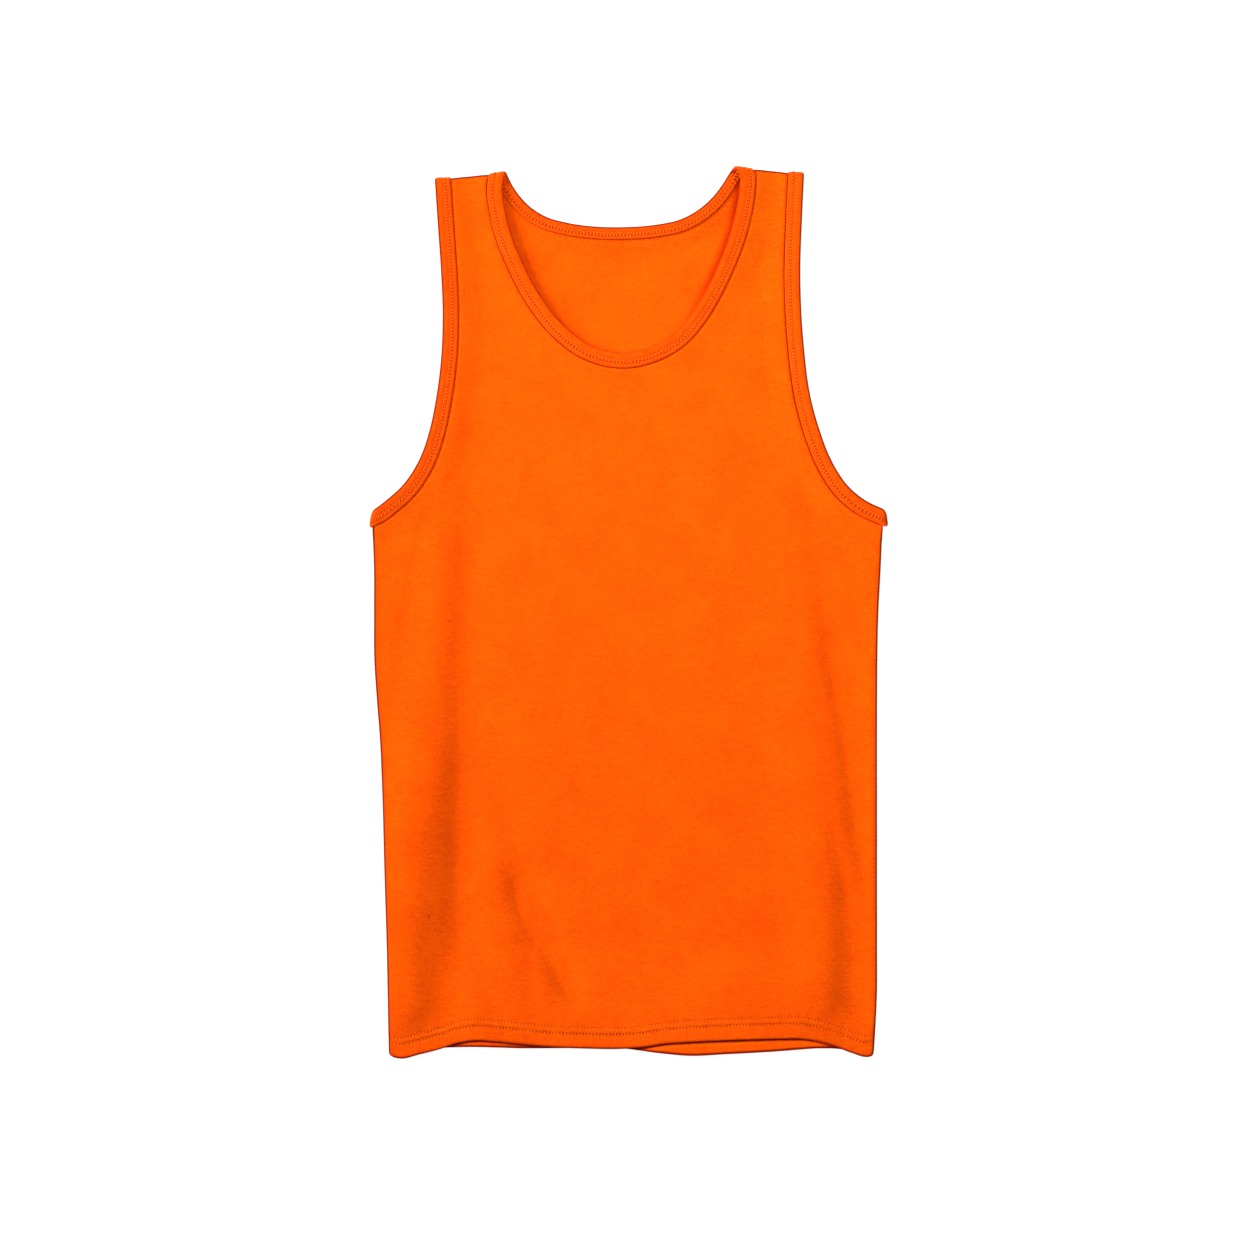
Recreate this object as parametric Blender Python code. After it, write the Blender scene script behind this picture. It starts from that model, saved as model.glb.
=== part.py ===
"""A tank top in cotton jersey that lies flat on a table, front up.

It is made of the pieces that are cut and sewn: a front, a back, one strip that binds the
neck all the way round, and one strip that binds each armhole. The front and the back carry
their own hems, turned up once to the inside. Each piece is a wall of cloth, and pieces that
are sewn together lie 0.3 mm apart.

Lengths are in millimetres here, and make_object() turns them into metres. X runs to the
right of the garment as it is seen, Y from the hem to the shoulders, and Z up from the table.
"""
import math

import bpy
from mathutils.geometry import delaunay_2d_cdt

MM = 0.001

# ---------------------------------------------------------------- driving sizes
CLOTH = 1.0              # wall of every piece
GAP = 0.3                # space left between two pieces at a seam
BINDING_OUTER = 14.0     # width of a binding on the outside of the garment
BINDING_INNER = 11.0     # width of its turned edge on the inside
HEM_DEPTH = 20.0         # how far the hem is turned up
EDGE_INSET = 3.2         # from a binding's folded edge to the cut edge of the panel inside it
SHEET_CENTRE = (1.5, -0.414)   # middle of the laid garment in the tables below: x, y

# Heights of the middle of the cloth above the table
LEAF = CLOTH + GAP                       # from a panel to the binding's leaf on either side
BINDING_HALF = LEAF + CLOTH / 2          # half of a bound edge, five layers with gaps
BACK_REST = CLOTH / 2                    # back panel, lying on the table
BACK_SEAM = BINDING_HALF                 # back panel inside its bindings
FRONT_REST = 4.2                         # front panel, lying loosely on the back
FRONT_LOWEST = BACK_REST + LEAF + 0.1    # deepest the front can sink between its folds
FRONT_SEAM = 3 * BINDING_HALF + GAP      # front panel inside bindings that lie on the back's
NECK_DIP = 4.6                           # front panel at the lowest point of the neck
FRONT_HEM = BACK_REST + 3 * LEAF         # front panel over both turned-up hems
SHOULDER_RADIUS = (FRONT_SEAM - BACK_SEAM) / 2
SHOULDER_HEIGHT = (FRONT_SEAM + BACK_SEAM) / 2
HEM_RADIUS = LEAF / 2                    # fold at the foot of the hem

# ---------------------------------------------------------------- outline of the laid garment
# Folded edge of the left armhole's binding, from the strap down to the underarm: x, y
ARMHOLE_LEFT = (
    (-172.8, 389.0), (-170.0, 347.0), (-167.3, 308.0), (-165.7, 265.0), (-167.2, 227.0),
    (-171.8, 191.0), (-177.6, 163.0), (-184.5, 142.0), (-191.7, 127.8), (-202.0, 113.6),
    (-216.0, 100.8), (-230.2, 90.0),
)
# Folded edge of the right armhole's binding: x, y
ARMHOLE_RIGHT = (
    (159.2, 394.0), (157.2, 351.0), (155.8, 308.0), (156.6, 272.0), (159.2, 236.0),
    (165.2, 192.0), (172.6, 165.0), (180.6, 143.0), (188.3, 127.8), (198.0, 114.0),
    (213.2, 101.0), (233.2, 91.4),
)
# Folded edge of the neck's binding: x, y on the front, from the left strap to the right one
NECK_FRONT = (
    (-111.6, 381.0), (-110.0, 366.0), (-104.6, 342.0), (-95.4, 318.0), (-79.4, 287.0),
    (-56.8, 258.0), (-31.0, 239.4), (-2.0, 233.4), (23.0, 239.0), (42.0, 250.0),
    (57.5, 267.0), (71.5, 289.5), (84.0, 316.0), (93.2, 341.0), (98.6, 363.0), (101.2, 381.0),
    (101.4, 391.0),
)
# The same edge on the back, from the right strap to the left one
NECK_BACK = (
    (92.0, 394.5), (85.4, 384.0), (76.8, 373.0), (66.0, 363.2), (48.5, 353.4), (26.0, 348.4),
    (-5.0, 346.2), (-32.0, 347.0), (-55.0, 350.4), (-72.0, 355.2), (-87.8, 365.0),
    (-99.4, 378.0), (-105.6, 388.5),
)
# Fold of the cloth over the shoulders: x, y of its furthest point
SHOULDER_LINE = ((-174.0, 388.4), (-108.0, 394.6), (99.0, 399.0), (160.0, 393.4))
# The sides below the armholes: y, x of the left edge, x of the right edge
SIDES = (
    (92.0, -229.2, 231.0), (72.0, -228.8, 229.8), (40.0, -227.7, 228.3), (0.0, -227.6, 226.2),
    (-43.0, -227.4, 225.2), (-80.0, -225.0, 225.0), (-115.0, -222.3, 225.0),
    (-151.0, -220.5, 225.0), (-240.0, -217.9, 225.0), (-295.0, -216.2, 225.0),
    (-350.0, -215.1, 224.7), (-382.0, -214.6, 223.0), (-400.0, -214.2, 221.9),
)
# The hem's lower edge: x, y of the front, y of the back, how far the front's edge is lifted
HEM = (
    (-214.2, -399.4, -396.5, 0.0), (-203.4, -401.7, -397.5, 0.0), (-187.0, -398.0, -396.0, 0.4),
    (-168.3, -393.2, -392.6, 1.0), (-152.0, -387.6, -391.4, 1.8), (-137.5, -385.2, -391.2, 2.2),
    (-118.0, -386.4, -391.6, 1.8), (-95.4, -388.8, -392.4, 1.2), (-71.0, -391.3, -392.6, 0.6),
    (-39.6, -392.6, -392.4, 0.3), (-6.0, -393.0, -392.6, 0.3), (12.0, -391.9, -394.6, 0.8),
    (34.2, -388.4, -397.3, 1.5), (54.0, -386.8, -399.0, 2.0), (90.0, -385.0, -397.6, 2.4),
    (138.6, -383.6, -394.8, 2.6), (156.0, -383.6, -393.4, 2.4), (171.0, -386.0, -392.4, 1.6),
    (186.3, -390.6, -392.8, 0.8), (203.0, -397.0, -395.0, 0.2), (215.0, -400.3, -396.4, 0.0),
    (221.9, -399.4, -396.0, 0.0),
)

# ---------------------------------------------------------------- folds of the front
# top x, top y, foot x, foot y, bow to the right, half width left, half width right, lift
FRONT_FOLDS = (
    (-168, 170, -186, -250, 4, 36, 22, 2.2),     # swell along the left side
    (-190, -60, -216, -540, 0, 28, 36, 3.6),     # which grows towards the hem
    (-142, 280, -152, -420, 0, 14, 28, -1.8),    # long trough beside it
    (-172, 140, -212, -95, 0, 8, 18, -0.8),      # drag line, left underarm
    (155, 150, 190, -100, 3, 11, 24, -0.9),      # trough down the right side, faint at first
    (178, 20, 219, -285, 3, 12, 28, -2.2),
    (142, 60, 182, -300, 0, 30, 16, 0.7),        # swell beside it
    (182, -175, 202, -285, 0, 8, 9, -0.5),       # its lower branch, narrow and then broad
    (200, -190, 210, -540, 0, 18, 24, -2.0),
    (172, -190, 182, -540, 0, 26, 18, 1.0),      # swell beside the branch
    (186, 100, 220, -70, 2, 8, 16, -0.5),        # drag line, right underarm
    (-112, -120, -88, -330, -4, 14, 16, -0.8),   # slanting pair, lower left
    (-94, -210, -80, -325, 0, 14, 22, -1.1),
    (-104, -228, -36, -375, 0, 12, 20, -2.4),
    (-128, -150, -108, -340, 0, 22, 16, 0.6),    # and the swell beside them
    (120, 60, 128, -300, 0, 30, 30, -0.8),       # wide hollow, right of the middle
    (140, -220, 150, -430, 0, 26, 24, -1.2),
    (100, -280, 90, -470, 0, 50, 60, 1.4),       # slack of the front above its lifted hem
    (-140, -280, -120, -470, 0, 30, 40, 1.2),
)
FOLD_FADE = 0.3          # share of a fold's length over which it rises and dies away
HEM_SHARE = 0.2          # part of a fold's height that runs on through the stiffer hem
HEM_REACH = 38.0         # length above the hem over which the folds regain their height
LIFT_REACH = 75.0        # and over which the lifted stretches of the hem sink back
SINK_EASE = 0.4          # height over which a trough stops sinking towards the back
SIDE_LIFT = 0.9          # a trough stays this much higher at the sides, where the cloth rolls over
SIDE_REACH = 16.0        # and is free of the roll this far in from them

# ---------------------------------------------------------------- how a panel meets its bindings
SEAM_FLAT = 15.0         # a panel stays level this far inside a bound edge
SAG_REACH = 24.0         # and sinks to rest over this much more
ARMHOLE_END = 219.0      # its edge leaves the armhole this far from the middle, inside the strip
LEVEL_ZONE = 9.0         # sections run along the shoulder's fold this near to it
LEVEL_EASE = 16.0        # and turn square to the strip over this much more
END_ZONE = 22.0          # sections turn to the side seam over the last stretch of an armhole
END_SLANT = 0.12         # its end leans out past the side seam by this slope
SKEW_LIMIT = 1.16        # most that a section is lengthened where it crosses the strip slantwise
SIDE_ROWS = (86.0, 79.0, 73.0, 70.0, 67.0, 64.0, 61.0, 54.0, 40.0)   # y, from the binding down
ROLL_START = 73.0        # the side edge is level inside the binding's end, rolls over below it
ROLL_FULL = 61.0         # and faces the other panel's edge from here to the hem
SEAM_LIP = 0.25          # last stretch of a rolled edge, which stands straight at the seam

# ---------------------------------------------------------------- mesh density
COLUMN = 9.5             # spacing of the front's points across the body
ROW = 24.0               # spacing along it, as the folds run up and down
FRONT_EDGE = 14.0        # spacing along its bound edges
BACK_COLUMN = 22.0       # the back lies flat, so it takes fewer points
BACK_ROW = 50.0
BACK_EDGE = 22.0
SEAM_STEP = 10.0         # from the row where a panel begins to sink to the next one
HEM_STEP = 12.0          # from the top of the hem to the row above it
EDGE_CLEAR = 5.0         # points stay this far from the outline
POINT_CLEAR = 6.5        # and from each other
SHOULDER_SPANS = 5
STATION = 11.0           # spacing of sections along a binding
FOLD_STATION = 1.05      # spacing where it turns over the shoulder

ORANGE = (0.965, 0.114, 0.004, 1.0)
ORANGE_BINDING = (0.93, 0.105, 0.004, 1.0)


# ---------------------------------------------------------------- curves
def ease(t):
    """Smooth step from 0 to 1."""
    t = min(max(t, 0.0), 1.0)
    return t * t * (3 - 2 * t)


def smooth_curve(points, closed=False, steps=10):
    """Cubic spans through the points, each point's slope set by its two neighbours."""
    count = len(points)
    size = len(points[0])
    spans = count if closed else count - 1

    def chord(i, j):
        return math.dist(points[i % count], points[j % count])

    def slope(i):
        if not closed and i == 0:
            return [(points[1][k] - points[0][k]) / chord(0, 1) for k in range(size)]
        if not closed and i == count - 1:
            return [(points[i][k] - points[i - 1][k]) / chord(i - 1, i) for k in range(size)]
        before, here, after = points[i - 1], points[i % count], points[(i + 1) % count]
        d0, d1 = chord(i - 1, i), chord(i, i + 1)
        return [((here[k] - before[k]) / d0 * d1 + (after[k] - here[k]) / d1 * d0) / (d0 + d1)
                for k in range(size)]

    curve = []
    for i in range(spans):
        start, end = points[i], points[(i + 1) % count]
        length = chord(i, i + 1)
        slope_start, slope_end = slope(i), slope((i + 1) % count)
        for step in range(steps):
            t = step / steps
            a = 2 * t ** 3 - 3 * t ** 2 + 1
            b = (t ** 3 - 2 * t ** 2 + t) * length
            c = (t ** 3 - t ** 2) * length
            curve.append(tuple(a * start[k] + b * slope_start[k] + (1 - a) * end[k]
                               + c * slope_end[k] for k in range(size)))
    if not closed:
        curve.append(tuple(points[-1]))
    return curve


def look_up(rows, value, column):
    """Value of a column of a smoothed table at a place in its first column."""
    ascending = rows[-1][0] > rows[0][0]
    for low, high in zip(rows, rows[1:]):
        inside = low[0] <= value <= high[0] if ascending else high[0] <= value <= low[0]
        if inside:
            t = (value - low[0]) / (high[0] - low[0])
            return low[column] + t * (high[column] - low[column])
    nearer_start = (value < rows[0][0]) == ascending
    return rows[0][column] if nearer_start else rows[-1][column]


def walk(curve, spacing):
    """Points along an open curve at equal steps, both ends kept."""
    lengths = [math.dist(p, q) for p, q in zip(curve, curve[1:])]
    total = sum(lengths)
    count = max(1, round(total / spacing))
    points = []
    travelled, index = 0.0, 0
    for step in range(count):
        target = total * step / count
        while travelled + lengths[index] < target:
            travelled += lengths[index]
            index += 1
        t = (target - travelled) / lengths[index]
        points.append(tuple(a + t * (b - a) for a, b in zip(curve[index], curve[index + 1])))
    points.append(curve[-1])
    return points


def offset(curve, amount):
    """The curve moved sideways, to the right of its direction for a positive amount."""
    moved = []
    for i, (x, y) in enumerate(curve):
        ahead = curve[min(i + 1, len(curve) - 1)]
        behind = curve[max(i - 1, 0)]
        length = math.dist(ahead, behind)
        moved.append((x + amount * (ahead[1] - behind[1]) / length,
                      y - amount * (ahead[0] - behind[0]) / length))
    return moved


def nearest(curve, x, y):
    """Distance from a point to a curve."""
    return min(math.hypot(px - x, py - y) for px, py in curve)


SIDE_CURVE = smooth_curve(SIDES)
HEM_CURVE = smooth_curve(HEM)


def side_x(y, right):
    return look_up(SIDE_CURVE, y, 2 if right else 1)


def hem_y(x, back):
    return look_up(HEM_CURVE, x, 2 if back else 1)


def shoulder_y(x):
    return look_up(SHOULDER_LINE, x, 1)


# ---------------------------------------------------------------- the cloth before it is folded
# The front and the back are joined at the shoulders. v runs up the front, is 0 on the fold
# of the shoulder and goes on down the back, so that a binding is one smooth strip in (x, v).
QUARTER_TURN = math.pi * SHOULDER_RADIUS / 2


def unfold(x, y, back):
    v = y - shoulder_y(x) + SHOULDER_RADIUS - QUARTER_TURN
    return (x, -v if back else v)


def lay(x, v, height, front_height):
    """Where a point of the unfolded strip lies; height is measured outwards from its middle."""
    edge = shoulder_y(x) - SHOULDER_RADIUS
    if v < -QUARTER_TURN:
        y = edge + v + QUARTER_TURN
        return (x, y, front_height(y) + height)
    if v > QUARTER_TURN:
        return (x, edge - v + QUARTER_TURN, BACK_SEAM - height)
    turn = v / SHOULDER_RADIUS
    reach = SHOULDER_RADIUS + height
    return (x, edge + reach * math.cos(turn), SHOULDER_HEIGHT - reach * math.sin(turn))


def armhole_height(y):
    """The front's armhole binding lies on the back's all the way."""
    return FRONT_SEAM


def neck_height(y):
    """The neck's binding sinks towards the back panel as the two edges part."""
    lowest, level = 233.0, 345.0
    return NECK_DIP + (FRONT_SEAM - NECK_DIP) * ease((y - lowest) / (level - lowest))


# ---------------------------------------------------------------- folded edges as curves
LEFT_EDGE = smooth_curve(ARMHOLE_LEFT)
RIGHT_EDGE = smooth_curve(ARMHOLE_RIGHT)
NECK_LOOP = smooth_curve([unfold(x, y, False) for x, y in NECK_FRONT]
                         + [unfold(x, y, True) for x, y in NECK_BACK], closed=True)


def neck_part(back):
    """The front or back stretch of the neck's edge in x and y, from end to end of the loop."""
    part = []
    for x, v in NECK_LOOP:
        if (v > 0) == back:
            part.append((x, shoulder_y(x) - SHOULDER_RADIUS + QUARTER_TURN - abs(v)))
    if not back:
        # The loop starts on the front, so its last points come before its first ones
        jump = max(range(1, len(part)), key=lambda i: math.dist(part[i - 1], part[i]))
        if math.dist(part[jump - 1], part[jump]) > BINDING_OUTER:
            part = part[jump:] + part[:jump]
    return part


NECK_EDGE = {False: neck_part(False), True: neck_part(True)}


# ---------------------------------------------------------------- heights of the two panels
def seam_pull(distance):
    """How far a panel still holds the height of the binding at this distance from its edge."""
    return 1 - ease((distance - SEAM_FLAT) / SAG_REACH)


def fold_lift(fold, x, y):
    top_x, top_y, foot_x, foot_y, bow, left, right, lift = fold
    t = (top_y - y) / (top_y - foot_y)
    if not 0 < t < 1:
        return 0.0
    spine = top_x + t * (foot_x - top_x) + bow * 4 * t * (1 - t)
    width = left if x < spine else right
    return lift * math.exp(-((x - spine) / width) ** 2) * ease(min(t, 1 - t) / FOLD_FADE)


def front_height(x, y):
    """Middle of the front panel above the table."""
    rise = y - hem_y(x, False)
    share = HEM_SHARE + (1 - HEM_SHARE) * ease((rise - HEM_DEPTH / 2) / HEM_REACH)
    z = FRONT_REST + share * sum(fold_lift(fold, x, y) for fold in FRONT_FOLDS)
    from_side = min(x - side_x(y, False), side_x(y, True) - x)
    lowest = FRONT_LOWEST + SIDE_LIFT * (1 - ease(from_side / SIDE_REACH))
    if z < lowest + SINK_EASE:
        z = lowest + SINK_EASE * math.exp((z - lowest) / SINK_EASE - 1)
    hem = FRONT_HEM + max(z - FRONT_REST, 0)
    z += (hem - z) * (1 - ease((rise - HEM_DEPTH) / SAG_REACH))
    z += look_up(HEM_CURVE, x, 3) * (1 - ease((rise - HEM_DEPTH) / LIFT_REACH))
    armhole = min(nearest(LEFT_EDGE, x, y), nearest(RIGHT_EDGE, x, y))
    z += (armhole_height(y) - z) * seam_pull(armhole)
    return z + (neck_height(y) - z) * seam_pull(nearest(NECK_EDGE[False], x, y))


def bound_edge_distance(x, y, back):
    return min(nearest(edge, x, y) for edge in (LEFT_EDGE, RIGHT_EDGE, NECK_EDGE[back]))


def back_height(x, y):
    """Middle of the back panel above the table: flat but for its bound edges."""
    edge = bound_edge_distance(x, y, True)
    return BACK_REST + (BACK_SEAM - BACK_REST) * (1 - ease((edge - SEAM_FLAT) / (SAG_REACH / 2)))


# ---------------------------------------------------------------- building objects
def make_object(name, vertices, faces, colour):
    """A sheet of cloth as a wall: its middle surface with a Solidify modifier."""
    mesh = bpy.data.meshes.new(name)
    centre_x, centre_y = SHEET_CENTRE
    mesh.from_pydata([((x - centre_x) * MM, (y - centre_y) * MM, z * MM) for x, y, z in vertices],
                     [], faces)
    mesh.update()
    mesh.shade_smooth()
    obj = bpy.data.objects.new(name, mesh)
    bpy.context.collection.objects.link(obj)
    wall = obj.modifiers.new("wall of cloth", "SOLIDIFY")
    wall.thickness = CLOTH * MM
    wall.offset = 0.0
    wall.use_even_offset = True
    wall.use_quality_normals = True
    material = bpy.data.materials.new(name)
    material.use_nodes = True
    shader = material.node_tree.nodes["Principled BSDF"]
    shader.inputs["Base Color"].default_value = colour
    shader.inputs["Roughness"].default_value = 0.9
    shader.inputs["Metallic"].default_value = 0.0
    mesh.materials.append(material)
    return obj


# ---------------------------------------------------------------- front and back panels

def roll_radius(x, y):
    """Radius of the roll that joins the front and the back at an edge."""
    return (front_height(x, y) - back_height(x, y)) / 2


def panel_outline(back):
    """The panel's flat part: hem, right side, armhole, shoulder, neck and so on round."""
    half = CLOTH / 2
    column, spacing = (BACK_COLUMN, BACK_EDGE) if back else (COLUMN, FRONT_EDGE)

    def foot(x):
        return hem_y(x, back) + HEM_RADIUS + half

    def side(right):
        """From the hem up; each point lies in from the edge by the radius of the roll."""
        outward = 1 if right else -1
        low, high = foot(side_x(SIDES[-1][0], right)), SIDE_ROWS[-1]
        count = round((high - low) / ROW)
        rows = [low + (high - low) * i / count for i in range(count)] + list(SIDE_ROWS[::-1])
        points = []
        for y in rows:
            edge = side_x(y, right)
            radius = roll_radius(edge - outward * SHOULDER_RADIUS, y)
            points.append((edge - outward * (radius + half), y))
        return points

    def shoulder(start_x, end_x):
        points = []
        for step in range(SHOULDER_SPANS + 1):
            x = start_x + (end_x - start_x) * step / SHOULDER_SPANS
            radius = roll_radius(x, shoulder_y(x) - SHOULDER_RADIUS)
            points.append((x, shoulder_y(x) - radius))
        return points

    def below_fold(points):
        return [(x, y) for x, y in points if y < shoulder_y(x) - SHOULDER_RADIUS - 1]

    left_armhole = [p for p in below_fold(offset(LEFT_EDGE, -EDGE_INSET)) if p[0] > -ARMHOLE_END]
    right_armhole = [p for p in below_fold(offset(RIGHT_EDGE, EDGE_INSET)) if p[0] < ARMHOLE_END]
    neck = below_fold(offset(NECK_EDGE[back], -EDGE_INSET if back else EDGE_INSET))
    if back:
        neck = neck[::-1]
    # The strip crosses the fold at its own place, and the panel's corners stay inside it
    left_corner = min(neck[0][0], NECK_EDGE[False][0][0] - EDGE_INSET)
    right_corner = max(neck[-1][0], NECK_EDGE[False][-1][0] + EDGE_INSET)

    left_side, right_side = side(False), side(True)
    left_x, width = left_side[0][0], right_side[0][0] - left_side[0][0]
    columns = round(width / column)
    hem_xs = [left_x + width * i / columns for i in range(1, columns)]

    return {
        "hem": [left_side[0]] + [(x, foot(x)) for x in hem_xs] + [right_side[0]],
        "right side": right_side,
        "right armhole": walk(right_armhole[::-1], spacing),
        "right shoulder": shoulder(right_armhole[0][0], right_corner),
        "neck": walk(neck[::-1], spacing),
        "left shoulder": shoulder(left_corner, left_armhole[0][0]),
        "left armhole": walk(left_armhole, spacing),
        "left side": left_side[::-1],
    }


def inside(loop, x, y):
    """Whether a point is inside a closed outline."""
    crossings = 0
    for (ax, ay), (bx, by) in zip(loop, loop[1:] + loop[:1]):
        if (ay > y) != (by > y) and x < ax + (y - ay) / (by - ay) * (bx - ax):
            crossings += 1
    return crossings % 2 == 1


def inner_points(loop, sections, back):
    """Points that shape the panel inside its outline, and the rows of them that stay joined.

    There are rows over the hem, rows along the bindings, and a grid in between.
    """
    points, links = [], []

    def add(x, y, clear_of_points, clear_of_edge):
        if not inside(loop, x, y) or nearest(loop, x, y) < clear_of_edge:
            return None
        if points and nearest(points, x, y) < clear_of_points:
            return None
        points.append((x, y))
        return len(loop) + len(points) - 1

    def add_row(places, clear_of_points, clear_of_edge):
        row = [add(x, y, clear_of_points, clear_of_edge) for x, y in places]
        links.extend((a, b) for a, b in zip(row, row[1:]) if a is not None and b is not None)

    hem = sections["hem"]
    for rise in (HEM_DEPTH / 2, HEM_DEPTH - HEM_RADIUS, HEM_DEPTH + HEM_STEP):
        add_row([(x, y + rise) for x, y in hem[1:-1]], 0, HEM_DEPTH / 8)
    row_spacing, edge_spacing = (BACK_ROW, BACK_EDGE) if back else (ROW, FRONT_EDGE)
    neck_side = -1 if back else 1
    for edge, side in ((LEFT_EDGE, -1), (RIGHT_EDGE, 1), (NECK_EDGE[back], neck_side)):
        for inward in (SEAM_FLAT, SEAM_FLAT + SEAM_STEP):
            add_row(walk(offset(edge, side * inward), edge_spacing), POINT_CLEAR, EDGE_CLEAR)
    y = hem[0][1] + HEM_DEPTH + HEM_STEP + row_spacing / 2
    while y < shoulder_y(0):
        for x, _ in hem[1:-1]:
            if bound_edge_distance(x, y, back) > SEAM_FLAT + EDGE_CLEAR:
                add(x, y, POINT_CLEAR, EDGE_CLEAR)
        y += row_spacing
    return points, links


def panel(name, back):
    """A panel with rolled side and shoulder edges and a turned-up hem."""
    height = back_height if back else front_height
    up = -1 if back else 1          # the way the outside of this panel faces
    sections = panel_outline(back)
    loop = []
    where = {}
    for part, points in sections.items():
        start = 1 if loop and math.dist(loop[-1], points[0]) < 0.01 else 0
        first = len(loop) - start
        loop.extend(points[start:])
        where[part] = list(range(first, len(loop)))
    if math.dist(loop[0], loop[-1]) < 0.01:
        loop.pop()
        where["left side"][-1] = 0
    points, links = inner_points(loop, sections, back)
    flat = loop + points
    corners, _, faces, _, _, _ = delaunay_2d_cdt(flat, links, [list(range(len(loop)))], 1, 1e-4)
    if len(corners) != len(flat):
        raise ValueError(f"{name}: the outline crosses itself")
    vertices = [(x, y, height(x, y)) for x, y in flat]
    faces = [list(face) for face in faces]

    def strip(rows):
        for lower, upper in zip(rows, rows[1:]):
            for i in range(len(lower) - 1):
                faces.append([lower[i + 1], lower[i], upper[i], upper[i + 1]])

    def roll(part, outward, fullness):
        """Turns an edge over by a quarter, to meet the other panel at the seam."""
        base = where[part]
        rows = [base, [], [], []]
        for index in base:
            x, y, z = vertices[index]
            radius = roll_radius(x, y)
            quarter = math.pi * radius / 2
            diagonal = radius * math.sin(math.pi / 4)
            # Reach of the edge if it stays level, its reach if it turns, and its drop then
            steps = ((quarter / 2, diagonal, radius - diagonal),
                     (quarter * 0.9, radius, radius - GAP / 2 - SEAM_LIP),
                     (quarter, radius, radius - GAP / 2))
            turned = fullness(y)
            for row, (level, reach, drop) in zip(rows[1:], steps):
                out = level + (reach - level) * turned
                row.append(len(vertices))
                vertices.append((x + outward[0] * out, y + outward[1] * out, z - up * drop * turned))
        strip(rows)

    def side_fullness(y):
        return ease((ROLL_START - y) / (ROLL_START - ROLL_FULL))

    roll("right side", (1, 0), side_fullness)
    roll("left side", (-1, 0), side_fullness)
    roll("right shoulder", (0, 1), lambda y: 1.0)
    roll("left shoulder", (0, 1), lambda y: 1.0)

    base = where["hem"]
    rows = [base] + [[] for _ in range(5)]
    for index in base:
        x, y, z = vertices[index]
        places = [(y - HEM_RADIUS * math.sin(turn), z - up * HEM_RADIUS * (1 - math.cos(turn)))
                  for turn in (math.pi / 3, 2 * math.pi / 3, math.pi)]
        places += [(y + rise, height(x, y + rise) - up * LEAF)
                   for rise in (HEM_DEPTH / 2, HEM_DEPTH - HEM_RADIUS)]
        for row, (row_y, row_z) in zip(rows[1:], places):
            row.append(len(vertices))
            vertices.append((x, row_y, row_z))
    strip(rows)

    if back:
        faces = [face[::-1] for face in faces]
    return make_object(name, vertices, faces, ORANGE)


# ---------------------------------------------------------------- bindings
def binding_section():
    """Middle line of the folded strip: distance in from the folded edge, height off the panel."""
    bend = LEAF + CLOTH / 2
    points = [(BINDING_OUTER, LEAF), (bend, LEAF)]
    for turn in (math.pi / 3, 2 * math.pi / 3):
        points.append((bend - LEAF * math.sin(turn), LEAF * math.cos(turn)))
    return points + [(bend, -LEAF), (BINDING_INNER, -LEAF)]


def binding_stations(path, closed):
    """Places along the strip: few on the flat, close together over the fold of the shoulder."""
    if closed:
        path = path + path[:1]
    lengths = [math.dist(p, q) for p, q in zip(path, path[1:])]
    total = sum(lengths)
    stations = []
    target, travelled, index = 0.0, 0.0, 0
    while target < total - (STATION / 2 if closed else 0.01):
        while travelled + lengths[index] < target:
            travelled += lengths[index]
            index += 1
        t = (target - travelled) / lengths[index]
        (ax, av), (bx, bv) = path[index], path[index + 1]
        x, v = ax + t * (bx - ax), av + t * (bv - av)
        along = ((bx - ax) / lengths[index], (bv - av) / lengths[index])
        stations.append((x, v, along))
        step = min(max(FOLD_STATION, 0.4 * (abs(v) - LEVEL_ZONE / 2)), STATION)
        if not closed and total - target < 1.6 * step:
            break
        target += step
    if not closed:
        (ax, av), (bx, bv) = path[-2], path[-1]
        stations.append((bx, bv, ((bx - ax) / lengths[-1], (bv - av) / lengths[-1])))
    return stations


def binding(name, path, cloth_side, closed, height):
    """A strip folded round a cut edge. cloth_side is 1 where the cloth is right of the path."""
    vertices, faces = [], []
    section = binding_section()
    stations = binding_stations(path, closed)
    for x, v, (along_x, along_v) in stations:
        across = (cloth_side * along_v, -cloth_side * along_x)
        level = (math.copysign(1, across[0]), 0.0)
        down = (-END_SLANT * level[0], math.copysign(1, v))
        over = 1 - ease((abs(v) - LEVEL_ZONE) / LEVEL_EASE)
        end = 0.0 if closed else 1 - ease((abs(path[0][1]) - abs(v)) / END_ZONE)
        aim = [across[k] + (level[k] - across[k]) * over + (down[k] - across[k]) * end
               for k in (0, 1)]
        size = math.hypot(*aim)
        stretch = min(size / (aim[0] * across[0] + aim[1] * across[1]), SKEW_LIMIT)
        for inward, off in section:
            reach = inward * stretch / size
            vertices.append(lay(x + aim[0] * reach, v + aim[1] * reach, off, height))
    points = len(section)
    count = len(stations)
    for i in range(count if closed else count - 1):
        here, ahead = i * points, (i + 1) % count * points
        for k in range(points - 1):
            quad = [here + k, here + k + 1, ahead + k + 1, ahead + k]
            faces.append(quad if cloth_side > 0 else quad[::-1])
    return make_object(name, vertices, faces, ORANGE_BINDING)


def armhole_path(edge):
    """From the front underarm over the shoulder to the back underarm, in (x, v)."""
    front = [unfold(x, y, False) for x, y in edge]
    back = [unfold(x, y, True) for x, y in edge]
    front = [p for p in front if p[1] < -2]
    back = [p for p in back if p[1] > 2]
    return front[::-1] + back


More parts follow.
